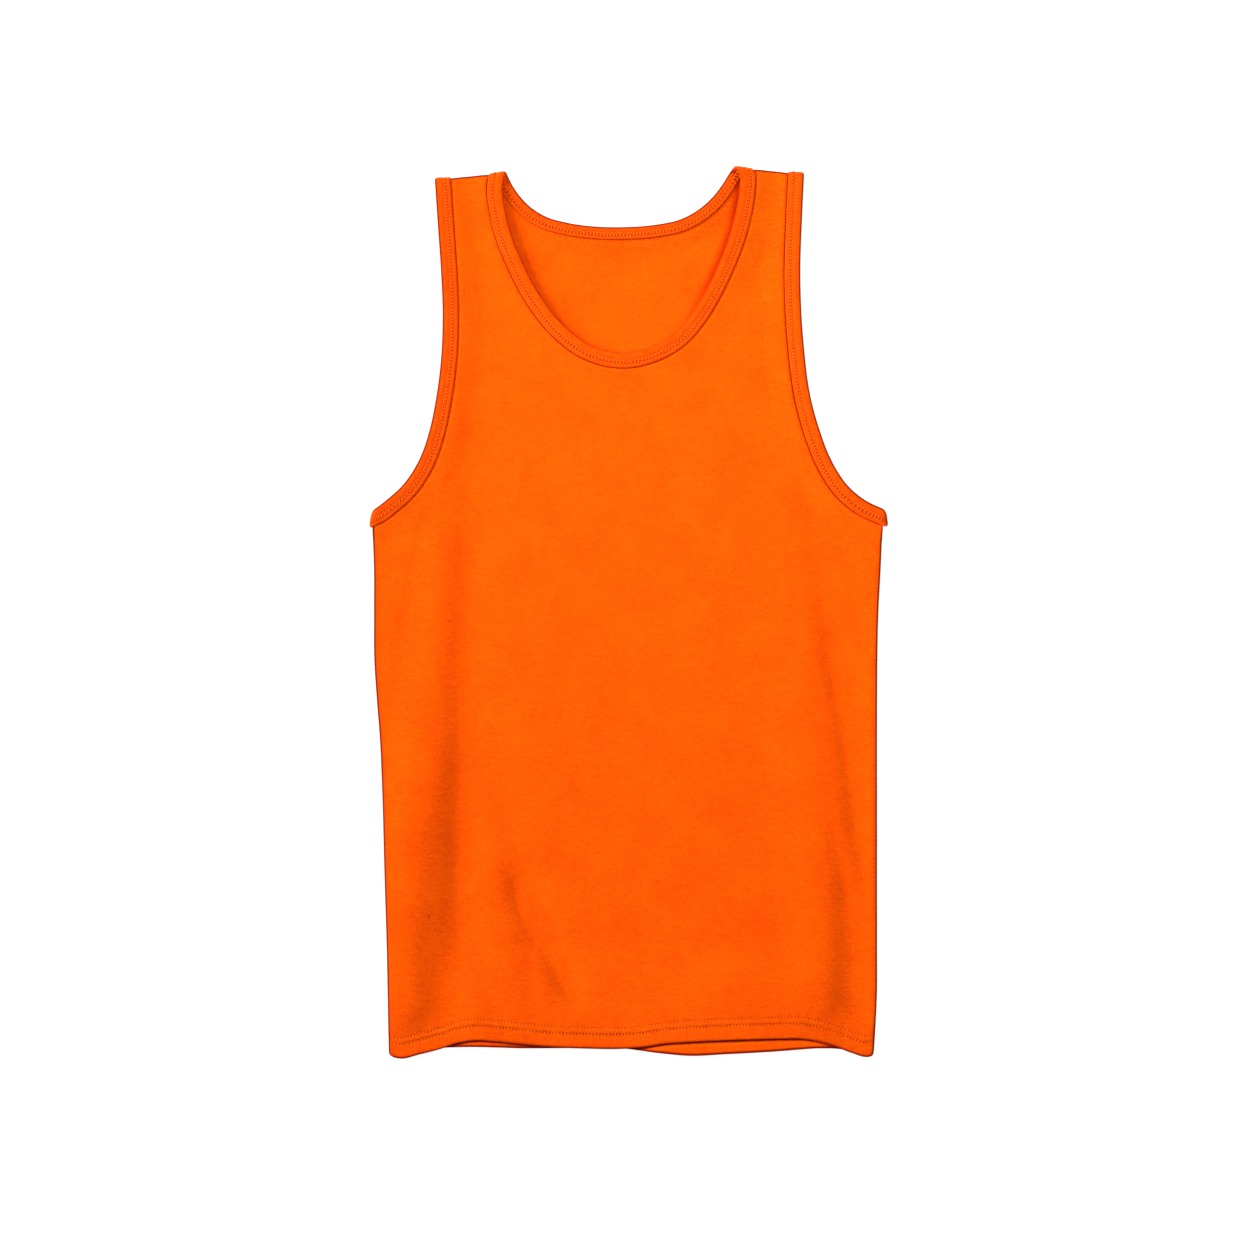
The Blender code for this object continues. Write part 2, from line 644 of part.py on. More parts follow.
def main():
    for obj in list(bpy.data.objects):
        bpy.data.objects.remove(obj)
    panel("back_panel", back=True)
    panel("front_panel", back=False)
    binding("neck_binding", NECK_LOOP, 1, True, neck_height)
    binding("armhole_binding_left", armhole_path(LEFT_EDGE), 1, False, armhole_height)
    binding("armhole_binding_right", armhole_path(RIGHT_EDGE), -1, False, armhole_height)


main()
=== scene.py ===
# %% [markdown]
# # A cotton tank top, laid flat
# A tank top is cut from T-shirt cloth: a front, a back, one strip that binds the neck and one
# that binds each armhole. This lesson lays it on a table, front up, as it is photographed for
# a shop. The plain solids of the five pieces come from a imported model. Each of them is
# replaced here by a fine skin of cloth with creases, sewn grooves and real threads.

import math

import bpy
import numpy as np
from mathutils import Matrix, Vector, noise
from mathutils.geometry import delaunay_2d_cdt


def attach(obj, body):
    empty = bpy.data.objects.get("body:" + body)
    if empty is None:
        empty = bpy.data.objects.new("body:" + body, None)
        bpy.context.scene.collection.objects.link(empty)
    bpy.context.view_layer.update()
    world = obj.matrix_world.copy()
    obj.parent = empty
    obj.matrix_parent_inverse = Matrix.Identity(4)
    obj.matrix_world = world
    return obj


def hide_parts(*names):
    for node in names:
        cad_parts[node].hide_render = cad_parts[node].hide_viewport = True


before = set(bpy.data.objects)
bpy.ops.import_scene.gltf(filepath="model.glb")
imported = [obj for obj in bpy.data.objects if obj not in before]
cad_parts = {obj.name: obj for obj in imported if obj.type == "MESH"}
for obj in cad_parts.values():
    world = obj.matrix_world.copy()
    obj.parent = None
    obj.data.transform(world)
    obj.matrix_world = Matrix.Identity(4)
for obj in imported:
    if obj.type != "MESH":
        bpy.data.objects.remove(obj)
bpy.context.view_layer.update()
print("solids:", sorted(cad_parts))

# %% [markdown]
# ## Sizes of the cloth
# All lengths below are millimetres, and one helper turns them into metres at the very end.
# The cloth is a single jersey of about 0.8 mm. The skins follow the middle of the solids'
# cloth, raised by half of its thickness, so that every layer keeps its place.

# %% Sizes of the cloth and of its seams
MM = 0.001
SHEET_CENTRE = (1.5, -0.414)   # middle of the laid garment in the tables: x, y
SKIN = 0.4                     # from the middle of a piece of cloth to its face
BACK_SKIN = 0.25               # the same for the back, which is pressed against the table
LEAF = 1.3                     # from a panel to the binding's leaf on either side of it
BINDING_OUTER, BINDING_INNER = 14.0, 11.0   # width of a binding outside and inside
EDGE_INSET = 3.2               # from a binding's fold to the cut edge inside it
HEM_DEPTH = 20.0               # how far a hem is turned up
# Middle of each panel above the table: where it lies loose, and inside a binding
BACK_REST, BACK_SEAM = 0.5, 1.8
FRONT_REST, FRONT_SEAM = 4.2, 5.7
# The same of the front in its deepest trough, at the foot of the neck, and over both hems
FRONT_LOWEST, NECK_DIP, FRONT_HEM = 1.9, 4.6, 4.4
# The fold over the shoulders
SHOULDER_RADIUS = (FRONT_SEAM - BACK_SEAM) / 2
SHOULDER_HEIGHT = (FRONT_SEAM + BACK_SEAM) / 2

# %% [markdown]
# ## The outline
# A laid garment is drawn by a few curves: the folded edge of each binding, the shoulders, the
# sides and the hem. Each is a short table of points that were read from the photograph and
# turned into millimetres. A cubic curve through the points gives the smooth edge.

# %% Tables of the outline
ARMHOLE_LEFT = (
    (-172.8, 389.0), (-170.0, 347.0), (-167.3, 308.0), (-165.7, 265.0), (-167.2, 227.0),
    (-171.8, 191.0), (-177.6, 163.0), (-184.5, 142.0), (-191.7, 127.8), (-202.0, 113.6),
    (-216.0, 100.8), (-230.2, 90.0),
)
ARMHOLE_RIGHT = (
    (159.2, 394.0), (157.2, 351.0), (155.8, 308.0), (156.6, 272.0), (159.2, 236.0),
    (165.2, 192.0), (172.6, 165.0), (180.6, 143.0), (188.3, 127.8), (198.0, 114.0),
    (213.2, 101.0), (233.2, 91.4),
)
NECK_FRONT = (
    (-111.6, 381.0), (-110.0, 366.0), (-104.6, 342.0), (-95.4, 318.0), (-79.4, 287.0),
    (-56.8, 258.0), (-31.0, 239.4), (-2.0, 233.4), (23.0, 239.0), (42.0, 250.0),
    (57.5, 267.0), (71.5, 289.5), (84.0, 316.0), (93.2, 341.0), (98.6, 363.0), (101.2, 381.0),
    (101.4, 391.0),
)
NECK_BACK = (
    (92.0, 394.5), (85.4, 384.0), (76.8, 373.0), (66.0, 363.2), (48.5, 353.4), (26.0, 348.4),
    (-5.0, 346.2), (-32.0, 347.0), (-55.0, 350.4), (-72.0, 355.2), (-87.8, 365.0),
    (-99.4, 378.0), (-105.6, 388.5),
)
SHOULDER_LINE = ((-174.0, 388.4), (-108.0, 394.6), (99.0, 399.0), (160.0, 393.4))
# The sides below the armholes: y, x of the left edge, x of the right edge
SIDES = (
    (92.0, -229.2, 231.0), (72.0, -228.8, 229.8), (40.0, -227.7, 228.3), (0.0, -227.6, 226.2),
    (-43.0, -227.4, 225.2), (-80.0, -225.0, 225.0), (-115.0, -222.3, 225.0),
    (-151.0, -220.5, 225.0), (-240.0, -217.9, 225.0), (-295.0, -216.2, 225.0),
    (-350.0, -215.1, 224.7), (-382.0, -214.6, 223.0), (-400.0, -214.2, 221.9),
)
# The hem's lower edge: x, y of the front, y of the back, how far the front's edge is lifted
HEM = (
    (-214.2, -399.4, -396.5, 0.0), (-203.4, -401.7, -397.5, 0.0), (-187.0, -398.0, -396.0, 0.4),
    (-168.3, -393.2, -392.6, 1.0), (-152.0, -387.6, -391.4, 1.8), (-137.5, -385.2, -391.2, 2.2),
    (-118.0, -386.4, -391.6, 1.8), (-95.4, -388.8, -392.4, 1.2), (-71.0, -391.3, -392.6, 0.6),
    (-39.6, -392.6, -392.4, 0.3), (-6.0, -393.0, -392.6, 0.3), (12.0, -391.9, -394.6, 0.8),
    (34.2, -388.4, -397.3, 1.5), (54.0, -386.8, -399.0, 2.0), (90.0, -385.0, -397.6, 2.4),
    (138.6, -383.6, -394.8, 2.6), (156.0, -383.6, -393.4, 2.4), (171.0, -386.0, -392.4, 1.6),
    (186.3, -390.6, -392.8, 0.8), (203.0, -397.0, -395.0, 0.2), (215.0, -400.3, -396.4, 0.0),
    (221.9, -399.4, -396.0, 0.0),
)


# %% Helpers for curves
def ease(t):
    """Smooth step from 0 to 1."""
    t = np.clip(t, 0.0, 1.0)
    return t * t * (3 - 2 * t)


def bell(t, middle, width):
    """A smooth bump: 1 in the middle, and nearly 0 from two widths away."""
    return np.exp(-((t - middle) / width) ** 2)


def needle_hole(along, pitch, stagger=0):
    """1 at each hole of a row of stitches and 0 midway between two."""
    return 0.5 + 0.5 * np.cos(2 * math.pi * (along / pitch + 0.5 * stagger))


def smooth_curve(points, closed=False, steps=24):
    """Cubic spans through the points, each point's slope set by its two neighbours."""
    points = np.array(points, float)
    count = len(points)
    if closed:
        points = np.vstack([points[-1], points, points[:2]])
    else:
        points = np.vstack([2 * points[0] - points[1], points, 2 * points[-1] - points[-2]])
    chords = np.linalg.norm(np.diff(points, axis=0), axis=1)[:, None]
    slopes = np.diff(points, axis=0) / chords
    tangents = (slopes[:-1] * chords[1:] + slopes[1:] * chords[:-1]) / (chords[:-1] + chords[1:])
    curve = []
    for i in range(count if closed else count - 1):
        t = np.arange(steps)[:, None] / steps
        a = 2 * t ** 3 - 3 * t ** 2 + 1
        curve.append(a * points[i + 1] + (1 - a) * points[i + 2]
                     + (t ** 3 - 2 * t ** 2 + t) * chords[i + 1] * tangents[i]
                     + (t ** 3 - t ** 2) * chords[i + 1] * tangents[(i + 1) % len(tangents)])
    if not closed:
        curve.append(points[-2:-1])
    return np.vstack(curve)


def walk(curve, spacing, closed=False):
    """The curve again, as points at equal steps."""
    if closed:
        curve = np.vstack([curve, curve[:1]])
    travelled = np.concatenate([[0], np.cumsum(np.linalg.norm(np.diff(curve, axis=0), axis=1))])
    places = np.linspace(0, travelled[-1], max(2, round(travelled[-1] / spacing) + 1))
    if closed:
        places = places[:-1]
    return np.column_stack([np.interp(places, travelled, column) for column in curve.T])


def offset(curve, amount):
    """The curve moved sideways, to the right of its direction for a positive amount."""
    along = np.gradient(curve, axis=0)
    along /= np.linalg.norm(along, axis=1)[:, None]
    return curve + amount * np.column_stack([along[:, 1], -along[:, 0]])


def nearest(curve, x, y):
    """Distance from each point to a curve of closely spaced points, and which is nearest."""
    x, y = np.broadcast_arrays(np.asarray(x, float), np.asarray(y, float))
    best, place = np.full(x.shape, np.inf), np.zeros(x.shape, int)
    for i, (px, py) in enumerate(curve):
        far = (x - px) ** 2 + (y - py) ** 2
        place[far < best] = i
        best = np.minimum(best, far)
    return np.sqrt(best), place


def distance(curve, x, y):
    return nearest(curve, x, y)[0]


# %% The smooth curves of the outline
SIDE_CURVE = smooth_curve(SIDES)[::-1]
HEM_CURVE = smooth_curve(HEM)


def side_x(y, right):
    return np.interp(y, SIDE_CURVE[:, 0], SIDE_CURVE[:, 2 if right else 1])


def hem_y(x, back):
    return np.interp(x, HEM_CURVE[:, 0], HEM_CURVE[:, 2 if back else 1])


def hem_lift(x):
    return np.interp(x, HEM_CURVE[:, 0], HEM_CURVE[:, 3])


def shoulder_y(x):
    return np.interp(x, [p[0] for p in SHOULDER_LINE], [p[1] for p in SHOULDER_LINE])


print(f"across under the arms: {side_x(70, True) - side_x(70, False):.0f} mm")

# %% [markdown]
# ## Folding the cloth over the shoulders
# A binding runs up the front, over the shoulder and down the back without a break. It is
# easiest to shape it before it is folded: v is the way along the unfolded garment, 0 on the
# shoulder's fold, negative on the front and positive on the back. One function then lays any
# point of the unfolded strip on the table.

# %% Folding and unfolding
QUARTER_TURN = math.pi * SHOULDER_RADIUS / 2


def unfold(points, back):
    """Points x, y on the front or the back, as x, v."""
    points = np.array(points, float)
    v = points[:, 1] - shoulder_y(points[:, 0]) + SHOULDER_RADIUS - QUARTER_TURN
    return np.column_stack([points[:, 0], -v if back else v])


def lay(x, v, off, front_level):
    """Where points of the unfolded strip lie; off is measured outwards from its middle."""
    edge = shoulder_y(x) - SHOULDER_RADIUS
    past = np.abs(v) - QUARTER_TURN
    turn = np.clip(v / SHOULDER_RADIUS, -math.pi / 2, math.pi / 2)
    reach = SHOULDER_RADIUS + off
    y = np.where(past > 0, edge - past, edge + reach * np.cos(turn))
    z = np.where(past > 0, np.where(v < 0, front_level(y) + off, BACK_SEAM - off),
                 SHOULDER_HEIGHT - reach * np.sin(turn))
    return x, y, z


def armhole_level(y):
    return np.full(np.shape(y), FRONT_SEAM)


NECK_FOOT, BACK_NECK_FOOT = 233.0, 345.0   # y of the neck's lowest points, front and back


def neck_level(y):
    """The neck's binding sinks towards the back as the two edges part."""
    rise = ease((y - NECK_FOOT) / (BACK_NECK_FOOT - NECK_FOOT))
    return NECK_DIP + (FRONT_SEAM - NECK_DIP) * rise


# %% The bound edges as curves
LEFT_EDGE = walk(smooth_curve(ARMHOLE_LEFT), 1.0)
RIGHT_EDGE = walk(smooth_curve(ARMHOLE_RIGHT), 1.0)
NECK_LOOP = walk(smooth_curve(np.vstack([unfold(NECK_FRONT, False), unfold(NECK_BACK, True)]),
                              closed=True), 1.0, closed=True)


def neck_part(back):
    """The front or back stretch of the neck's edge in x and y, from end to end."""
    part = NECK_LOOP[(NECK_LOOP[:, 1] > 0) == back]
    jump = np.argmax(np.linalg.norm(np.diff(part, axis=0), axis=1)) + 1
    if np.linalg.norm(part[jump] - part[jump - 1]) > BINDING_OUTER:
        part = np.vstack([part[jump:], part[:jump]])
    y = shoulder_y(part[:, 0]) - SHOULDER_RADIUS + QUARTER_TURN - np.abs(part[:, 1])
    return np.column_stack([part[:, 0], y])


NECK_EDGE = {False: neck_part(False), True: neck_part(True)}
print("neck opening all round:", len(NECK_LOOP), "mm")

# %% [markdown]
# ## Folds, creases and the lie of the cloth
# A laid shirt is never quite flat. Long soft folds fall from the underarms to the hem, shorter
# ones branch near it, and the cloth in between wanders by a few tenths of a millimetre. A
# cloth simulation would find folds of its own, so these are placed in round sizes,
# where the photograph shows a dark or a light flank: each is a trough or a ridge along a bowed
# line, with its own width on either side.

# %% Tables of folds
# top x, top y, foot x, foot y, bow to the right, half width left, half width right, lift
FRONT_FOLDS = (
    (-168, 170, -186, -250, 4, 36, 22, 2.2),     # swell along the left side
    (-190, -60, -216, -540, 0, 28, 36, 3.6),     # which grows towards the hem
    (-142, 280, -152, -420, 0, 14, 28, -1.8),    # long trough beside it
    (-172, 140, -212, -95, 0, 8, 18, -0.8),      # drag line, left underarm
    (155, 150, 190, -100, 3, 11, 24, -0.9),      # trough down the right side, faint at first
    (178, 20, 219, -285, 3, 12, 28, -2.2),
    (142, 60, 182, -300, 0, 30, 16, 0.7),        # swell beside it
    (182, -175, 202, -285, 0, 8, 9, -0.5),       # its lower branch, narrow and then broad
    (200, -190, 210, -540, 0, 18, 24, -2.0),
    (172, -190, 182, -540, 0, 26, 18, 1.0),      # swell beside the branch
    (186, 100, 220, -70, 2, 8, 16, -0.5),        # drag line, right underarm
    (-112, -120, -88, -330, -4, 14, 16, -0.8),   # slanting pair, lower left
    (-94, -210, -80, -325, 0, 14, 22, -1.1),
    (-104, -228, -36, -375, 0, 12, 20, -2.4),
    (-128, -150, -108, -340, 0, 22, 16, 0.6),    # and the swell beside them
    (120, 60, 128, -300, 0, 30, 30, -0.8),       # wide hollow, right of the middle
    (140, -220, 150, -430, 0, 26, 24, -1.2),
    (100, -280, 90, -470, 0, 50, 60, 1.4),       # slack of the front above its lifted hem
    (-140, -280, -120, -470, 0, 30, 40, 1.2),
)
# Shallow ones that are too fine for the solids
SMALL_FOLDS = (
    (-155, 175, -168, 20, 0, 6, 8, -0.4),        # second drag line, left underarm
    (-134, -285, -114, -385, 0, 14, 18, -0.8),   # short ones above the hem
    (-90, -300, -84, -380, 0, 8, 8, -0.3),
    (-20, -130, 0, -280, 0, 12, 14, -0.3),       # faint streak in the middle
    (-190, -200, -196, -470, 0, 16, 14, 0.7),    # ridge along the lower left side
    (-156, -170, -160, -470, 0, 20, 24, -0.8),   # and a trough beside it
)
# The back lies on the table, so its creases are low and only rise
BACK_FOLDS = (
    (-150, 120, -168, -330, 10, 14, 10, 0.8),
    (-60, 40, -84, -300, -6, 12, 16, 0.5),
    (150, 110, 190, -300, 4, 10, 12, 0.7),
    (70, -60, 96, -350, 6, 14, 10, 0.5),
    (-118, -180, -70, -370, 4, 9, 12, 0.6),
    (10, 180, 24, -40, 4, 18, 14, 0.35),
)
FOLD_FADE = 0.3          # share of a fold's length over which it rises and dies away
HEM_SHARE = 0.2          # part of a fold's height that runs on through the stiffer hem
HEM_REACH = 38.0         # length above the hem over which the folds regain their height
LIFT_REACH = 75.0        # and over which the lifted stretches of the hem sink back
SINK_EASE = 0.4          # height over which a trough stops sinking towards the back
SIDE_LIFT = 0.9          # a trough stays this much higher at the sides, where the cloth rolls over
SIDE_REACH = 16.0        # and is free of the roll this far in from them


def fold_lift(fold, x, y):
    """Height that one fold adds at each point."""
    top_x, top_y, foot_x, foot_y, bow, left, right, lift = fold
    t = (top_y - y) / (top_y - foot_y)
    spine = top_x + t * (foot_x - top_x) + bow * 4 * t * (1 - t)
    width = np.where(x < spine, left, right)
    return lift * bell(x, spine, width) * ease(np.minimum(t, 1 - t) / FOLD_FADE)


def wander(x, y, size, stretch, seed):
    """Smooth uneven lift between about -1 and 1; size is its scale, longer along y by stretch."""
    return np.array([noise.noise(Vector((px / size, py / size / stretch, seed)))
                     for px, py in zip(np.ravel(x), np.ravel(y))]).reshape(np.shape(x))


# %% What sewing does to the height of a panel
SEAM_FLAT, SAG_REACH = 15.0, 24.0   # a panel keeps its binding's height so far, then sags
LIP_DITCH, LIP_SWELL = 0.35, 0.12   # it dips beside a binding, and swells again after that
HEM_ROWS = (13.0, 18.5)        # the two rows of hem stitching, above the hem's edge
HEM_STITCH = 3.0               # length of a stitch of the hem
ROW_GROOVE, ROW_DIMPLE = 0.22, 0.2  # depth of a row, and what each needle hole adds
ROW_SWELL = 0.16               # how high the cloth stands between the rows


def seam_pull(gap):
    """How far a panel still holds the height of the binding at this distance from its edge."""
    return 1 - ease((gap - SEAM_FLAT) / SAG_REACH)


def ditch(gap):
    """The dip and the swell at this distance from a bound edge."""
    return (LIP_SWELL * bell(gap, BINDING_OUTER + 3.4, 1.3)
            - LIP_DITCH * bell(gap, BINDING_OUTER + 0.9, 0.8))


def hem_sewing(x, rise):
    """Both rows of a hem; rise is measured from its edge."""
    lift = ROW_SWELL * bell(rise, sum(HEM_ROWS) / 2, 2.0)
    for row, above in enumerate(HEM_ROWS):
        hole = needle_hole(x, HEM_STITCH, row)
        lift = lift - bell(rise, above, 0.9) * (ROW_GROOVE + ROW_DIMPLE * hole ** 3)
    return lift


def free_of_seams(edge, rise):
    """0 near a binding or a hem, and 1 where the cloth lies free."""
    return ease((edge - 16) / 22) * ease((rise - 22) / 30)


# %% Height of the front
WANDER = ((0.22, 34.0, 1.7, 3.0), (0.10, 13.0, 1.5, 8.0))   # height, size, stretch, seed
PUCKER = (0.13, 6.0, 4.0, 5.0)      # the same of the puckers across the hem


def front_height(x, y, sewn=True):
    """Middle of the front panel above the table. sewn adds what the stitches do to it, and
    the unevenness of the cloth."""
    x, y = np.asarray(x, float), np.asarray(y, float)
    rise = y - hem_y(x, False)
    share = HEM_SHARE + (1 - HEM_SHARE) * ease((rise - HEM_DEPTH / 2) / HEM_REACH)
    z = FRONT_REST + share * sum(fold_lift(fold, x, y) for fold in FRONT_FOLDS + SMALL_FOLDS)
    # A trough stops on the back
    from_side = np.minimum(x - side_x(y, False), side_x(y, True) - x)
    lowest = FRONT_LOWEST + SIDE_LIFT * (1 - ease(from_side / SIDE_REACH))
    above = (z - lowest) / SINK_EASE
    z = np.where(above < 1, lowest + SINK_EASE * np.exp(np.minimum(above, 1) - 1), z)
    # The hem lies on the back's hem, lifted in places, and the bound edges on the back's
    hem = FRONT_HEM + np.maximum(z - FRONT_REST, 0)
    z = z + (hem - z) * (1 - ease((rise - HEM_DEPTH) / SAG_REACH))
    z = z + hem_lift(x) * (1 - ease((rise - HEM_DEPTH) / LIFT_REACH))
    to_armhole = np.minimum(distance(LEFT_EDGE, x, y), distance(RIGHT_EDGE, x, y))
    to_neck = distance(NECK_EDGE[False], x, y)
    z = z + (armhole_level(y) - z) * seam_pull(to_armhole)
    z = z + (neck_level(y) - z) * seam_pull(to_neck)
    if sewn:
        free = free_of_seams(np.minimum(to_armhole, to_neck), rise)
        z = z + free * sum(height * wander(x, y, *grain) for height, *grain in WANDER)
        z = z + ditch(to_armhole) + ditch(to_neck) + hem_sewing(x, rise)
        height, *grain = PUCKER
        z = z + height * wander(x, y, *grain) * ease(rise / 3) * (1 - ease((rise - 22) / 8))
    return z


# %% Height of the back
HEM_CURL, CURL_REACH = 3.6, 5.0     # rise of the back's hem below the front's, and over how far


def bound_edge_distance(x, y, back):
    return np.minimum(np.minimum(distance(LEFT_EDGE, x, y), distance(RIGHT_EDGE, x, y)),
                      distance(NECK_EDGE[back], x, y))


def back_height(x, y, sewn=True):
    """Middle of the back panel above the table: it rests on it, but for its bound edges and
    where its hem shows below the front's and curls up."""
    x, y = np.asarray(x, float), np.asarray(y, float)
    edge = bound_edge_distance(x, y, True)
    z = BACK_REST + (BACK_SEAM - BACK_REST) * (1 - ease((edge - SEAM_FLAT) / (SAG_REACH / 2)))
    curl_start = hem_y(x, False) - 0.5 + np.minimum(hem_lift(x), 1.6)
    z = z + HEM_CURL * ease((curl_start - y) / CURL_REACH)
    if sewn:
        rise = y - hem_y(x, True)
        z = z + free_of_seams(edge, rise) * (sum(fold_lift(fold, x, y) for fold in BACK_FOLDS)
                                             + 0.12 * (1 + wander(x, y, 30.0, 1.6, 21.0)))
        z = z - 0.6 * hem_sewing(x, rise)
    return z


# %% [markdown]
# ## Cotton jersey
# The cloth is combed cotton, knitted as single jersey and dyed in one piece. Up close its
# face is columns of small V-shaped stitches, which run up the body and lie about 0.7 mm apart
# with rows every 0.55 mm. From a table's distance that reads as a dull, slightly mottled
# surface: the fibres scatter the light, so there is hardly any gloss, only a soft bloom where
# the cloth turns away. The yarn is a little thick and thin, which gives short streaks across
# the body, and loose fibres lie on it as short curved hairs. The stitches are drawn about
# twice as coarse as they are, because the real ones are finer than a pixel of the render.
#
# Down in a crevice the light has passed from fibre to fibre and comes out a deeper red. That
# shade is painted into the colour: every vertex has a value of painted shade, and from 0 to 1
# the dye turns to that deep red, and from 1 to 2 on to the dark brown of a thin rim. The same
# value also carries one dark knot of fibre.

# %% Helpers for materials
def dye(hex_code):
    """A colour given as sRGB hex, as the linear values that shaders take."""
    values = [int(hex_code[i:i + 2], 16) / 255 for i in (1, 3, 5)]
    linear = [v / 12.92 if v <= 0.04045 else ((v + 0.055) / 1.055) ** 2.4 for v in values]
    return (*linear, 1.0)


def add_node(tree, kind, settings=None, links=None):
    """Adds a node, sets its properties or unlinked inputs, and links its other inputs."""
    new = tree.nodes.new(kind)
    for key, value in (settings or {}).items():
        if isinstance(key, str) and key[0].islower():
            setattr(new, key, value)
        else:
            new.inputs[key].default_value = value
    for key, socket in (links or {}).items():
        tree.links.new(socket, new.inputs[key])
    return new


def new_material(name):
    """A material with no nodes yet, and its tree."""
    material = bpy.data.materials.new(name)
    material.use_nodes = True
    material.node_tree.nodes.clear()
    return material, material.node_tree


def surface(tree, settings, links=None):
    """The shader of a material's surface."""
    shader = add_node(tree, "ShaderNodeBsdfPrincipled", settings, links)
    add_node(tree, "ShaderNodeOutputMaterial", links={0: shader.outputs[0]})


# %% The jersey
WALE = 1.4               # spacing of the columns of stitches, 0.7 mm on the real cloth
COURSE = 1.1             # spacing of the rows, 0.55 mm on the real cloth


def cotton_jersey(name, dyed, deep, darkest_painted_shade):
    """Single jersey, piece-dyed; its pattern follows the piece's own cloth coordinates. dyed is
    its colour, and the next two colours are painted shade: the dye turns to them where the
    vertices' painted shade is 1 and 2."""
    material, tree = new_material(name)
    cloth = add_node(tree, "ShaderNodeUVMap", {"uv_map": "cloth"}).outputs[0]

    def calculate(operation, *values):
        """A math node; each value is a number or a socket."""
        numbers = {i: value for i, value in enumerate(values) if isinstance(value, (int, float))}
        sockets = {i: value for i, value in enumerate(values) if i not in numbers}
        return add_node(tree, "ShaderNodeMath", {"operation": operation, **numbers},
                        sockets).outputs[0]

    def add_up(*terms):
        """Each term is a socket, a value taken from it, and its weight."""
        total = 0.0
        for socket, middle, weight in terms:
            above = calculate("SUBTRACT", socket, middle) if middle else socket
            total = calculate("MULTIPLY_ADD", above, weight, total)
        return total

    def grain(wide, high, detail, roughness=0.5, distortion=0.0):
        """Noise with blotches about so many millimetres wide and high."""
        scaled = add_node(tree, "ShaderNodeMapping", {"Scale": (1 / wide, 1 / high, 1)}, {0: cloth})
        return add_node(tree, "ShaderNodeTexNoise",
                        {"Scale": 1 / MM, "Detail": detail, "Roughness": roughness,
                         "Distortion": distortion}, {"Vector": scaled.outputs[0]}).outputs[0]

    # The stitches: a leg slants up on either side of a column's middle
    place = add_node(tree, "ShaderNodeSeparateXYZ", links={0: cloth}).outputs
    drift = add_up((grain(3.2, 3.2, 2.0), 0.5, 0.9))
    column = calculate("ADD", calculate("DIVIDE", place[0], WALE * MM), drift)
    row = calculate("ADD", calculate("DIVIDE", place[1], COURSE * MM), drift)
    side = calculate("ABSOLUTE", calculate("SUBTRACT", calculate("FRACT", column), 0.5))
    leg = calculate("MULTIPLY", calculate("MULTIPLY_ADD", side, 1.1, row), 2 * math.pi)
    rib = calculate("SUBTRACT", 1, calculate("POWER", calculate("MULTIPLY", side, 2), 3))
    stitches = add_up((rib, 0, 0.6), (calculate("SINE", leg), 0, 0.25))

    # Thick and thin yarn, fuzz, large faint patches, and hairs
    slub = grain(8.0, 2.6, 3.0, 0.6, 0.8)
    fuzz = grain(2.2, 2.2, 3.0)
    patches = grain(38.0, 38.0, 4.0)
    hairs = calculate("ABSOLUTE", calculate("SUBTRACT", grain(6.5, 3.0, 2.0, 0.55, 1.6), 0.5))
    hairs = calculate("MINIMUM", calculate("MULTIPLY", hairs, 12), 1)
    relief = add_up((stitches, 0, 0.35), (slub, 0, 1.1), (fuzz, 0, 0.9))
    bump = add_node(tree, "ShaderNodeBump", {"Strength": 0.25, "Distance": 0.2 * MM},
                    {"Height": relief})
    shade = add_up((slub, 0.5, 0.75), (fuzz, 0.5, 0.75), (patches, 0.5, 0.45), (hairs, 0.66, 0.17))

    # A thin place in the yarn turns the orange redder more than it darkens it
    tone = add_node(tree, "ShaderNodeCombineColor")
    for channel, value, share in zip(("Red", "Green", "Blue"), dye(dyed), (0.3, 1, 1)):
        uneven = calculate("MULTIPLY", calculate("MULTIPLY_ADD", shade, share, 1), value)
        tree.links.new(uneven, tone.inputs[channel])
    # Painted shade: the vertices' value turns the dye to a deep red from 0 to 1, and on to dark
    # brown from 1 to 2
    painted_shade_and_knot = add_node(tree, "ShaderNodeAttribute", {"attribute_name": "painted_shade_and_knot"}).outputs["Fac"]
    deepened = add_node(tree, "ShaderNodeMix", {"data_type": "RGBA", 7: dye(deep)},
                        {0: painted_shade_and_knot, 6: tone.outputs[0]}).outputs[2]
    colour = add_node(tree, "ShaderNodeMix", {"data_type": "RGBA", 7: dye(darkest_painted_shade)},
                      {0: calculate("SUBTRACT", painted_shade_and_knot, 1), 6: deepened}).outputs[2]
    surface(tree, {"Roughness": 0.92, "Metallic": 0.0, "IOR": 1.45, "Specular IOR Level": 0.02,
                   "Sheen Weight": 0.02, "Sheen Roughness": 0.5, "Sheen Tint": dye("#FF7A20")},
            {"Base Color": colour, "Normal": bump.outputs[0]})
    return material


# The last two colours of each are painted shade: a deep red for crevices and a dark brown for thin
# rims
body_jersey = cotton_jersey("cotton_jersey_knitted_and_piece_dyed", "#E74D02", "#931400",
                            "#521700")
strip_jersey = cotton_jersey("cotton_jersey_strip_cut_across_and_folded", "#DE4602", "#931400",
                             "#521700")
print("jersey:", WALE, "mm columns,", COURSE, "mm rows")

# %% [markdown]
# ## Sewing thread
# The seams are sewn with spun polyester in the cloth's own orange. It is two plies twisted
# together, a little smoother than the cotton round it, so each stitch catches a touch more
# light; that extra light is also painted into its colour, as an orange a little lighter than
# the cloth's. The twist repeats about every 0.6 mm, far finer than a pixel, so it is drawn as
# slower changes of tone along the stitches, painted highlight and shade on the plies.

# %% The thread's material
THREAD = 0.6             # thickness of a stitch's two threads, 0.4 mm on the real seam
TWIST = 3.53             # length of one change of tone, 0.6 mm on the real thread
BANDS_TO_TURNS = 0.2 * math.pi      # the wave texture repeats this often at a scale of 1


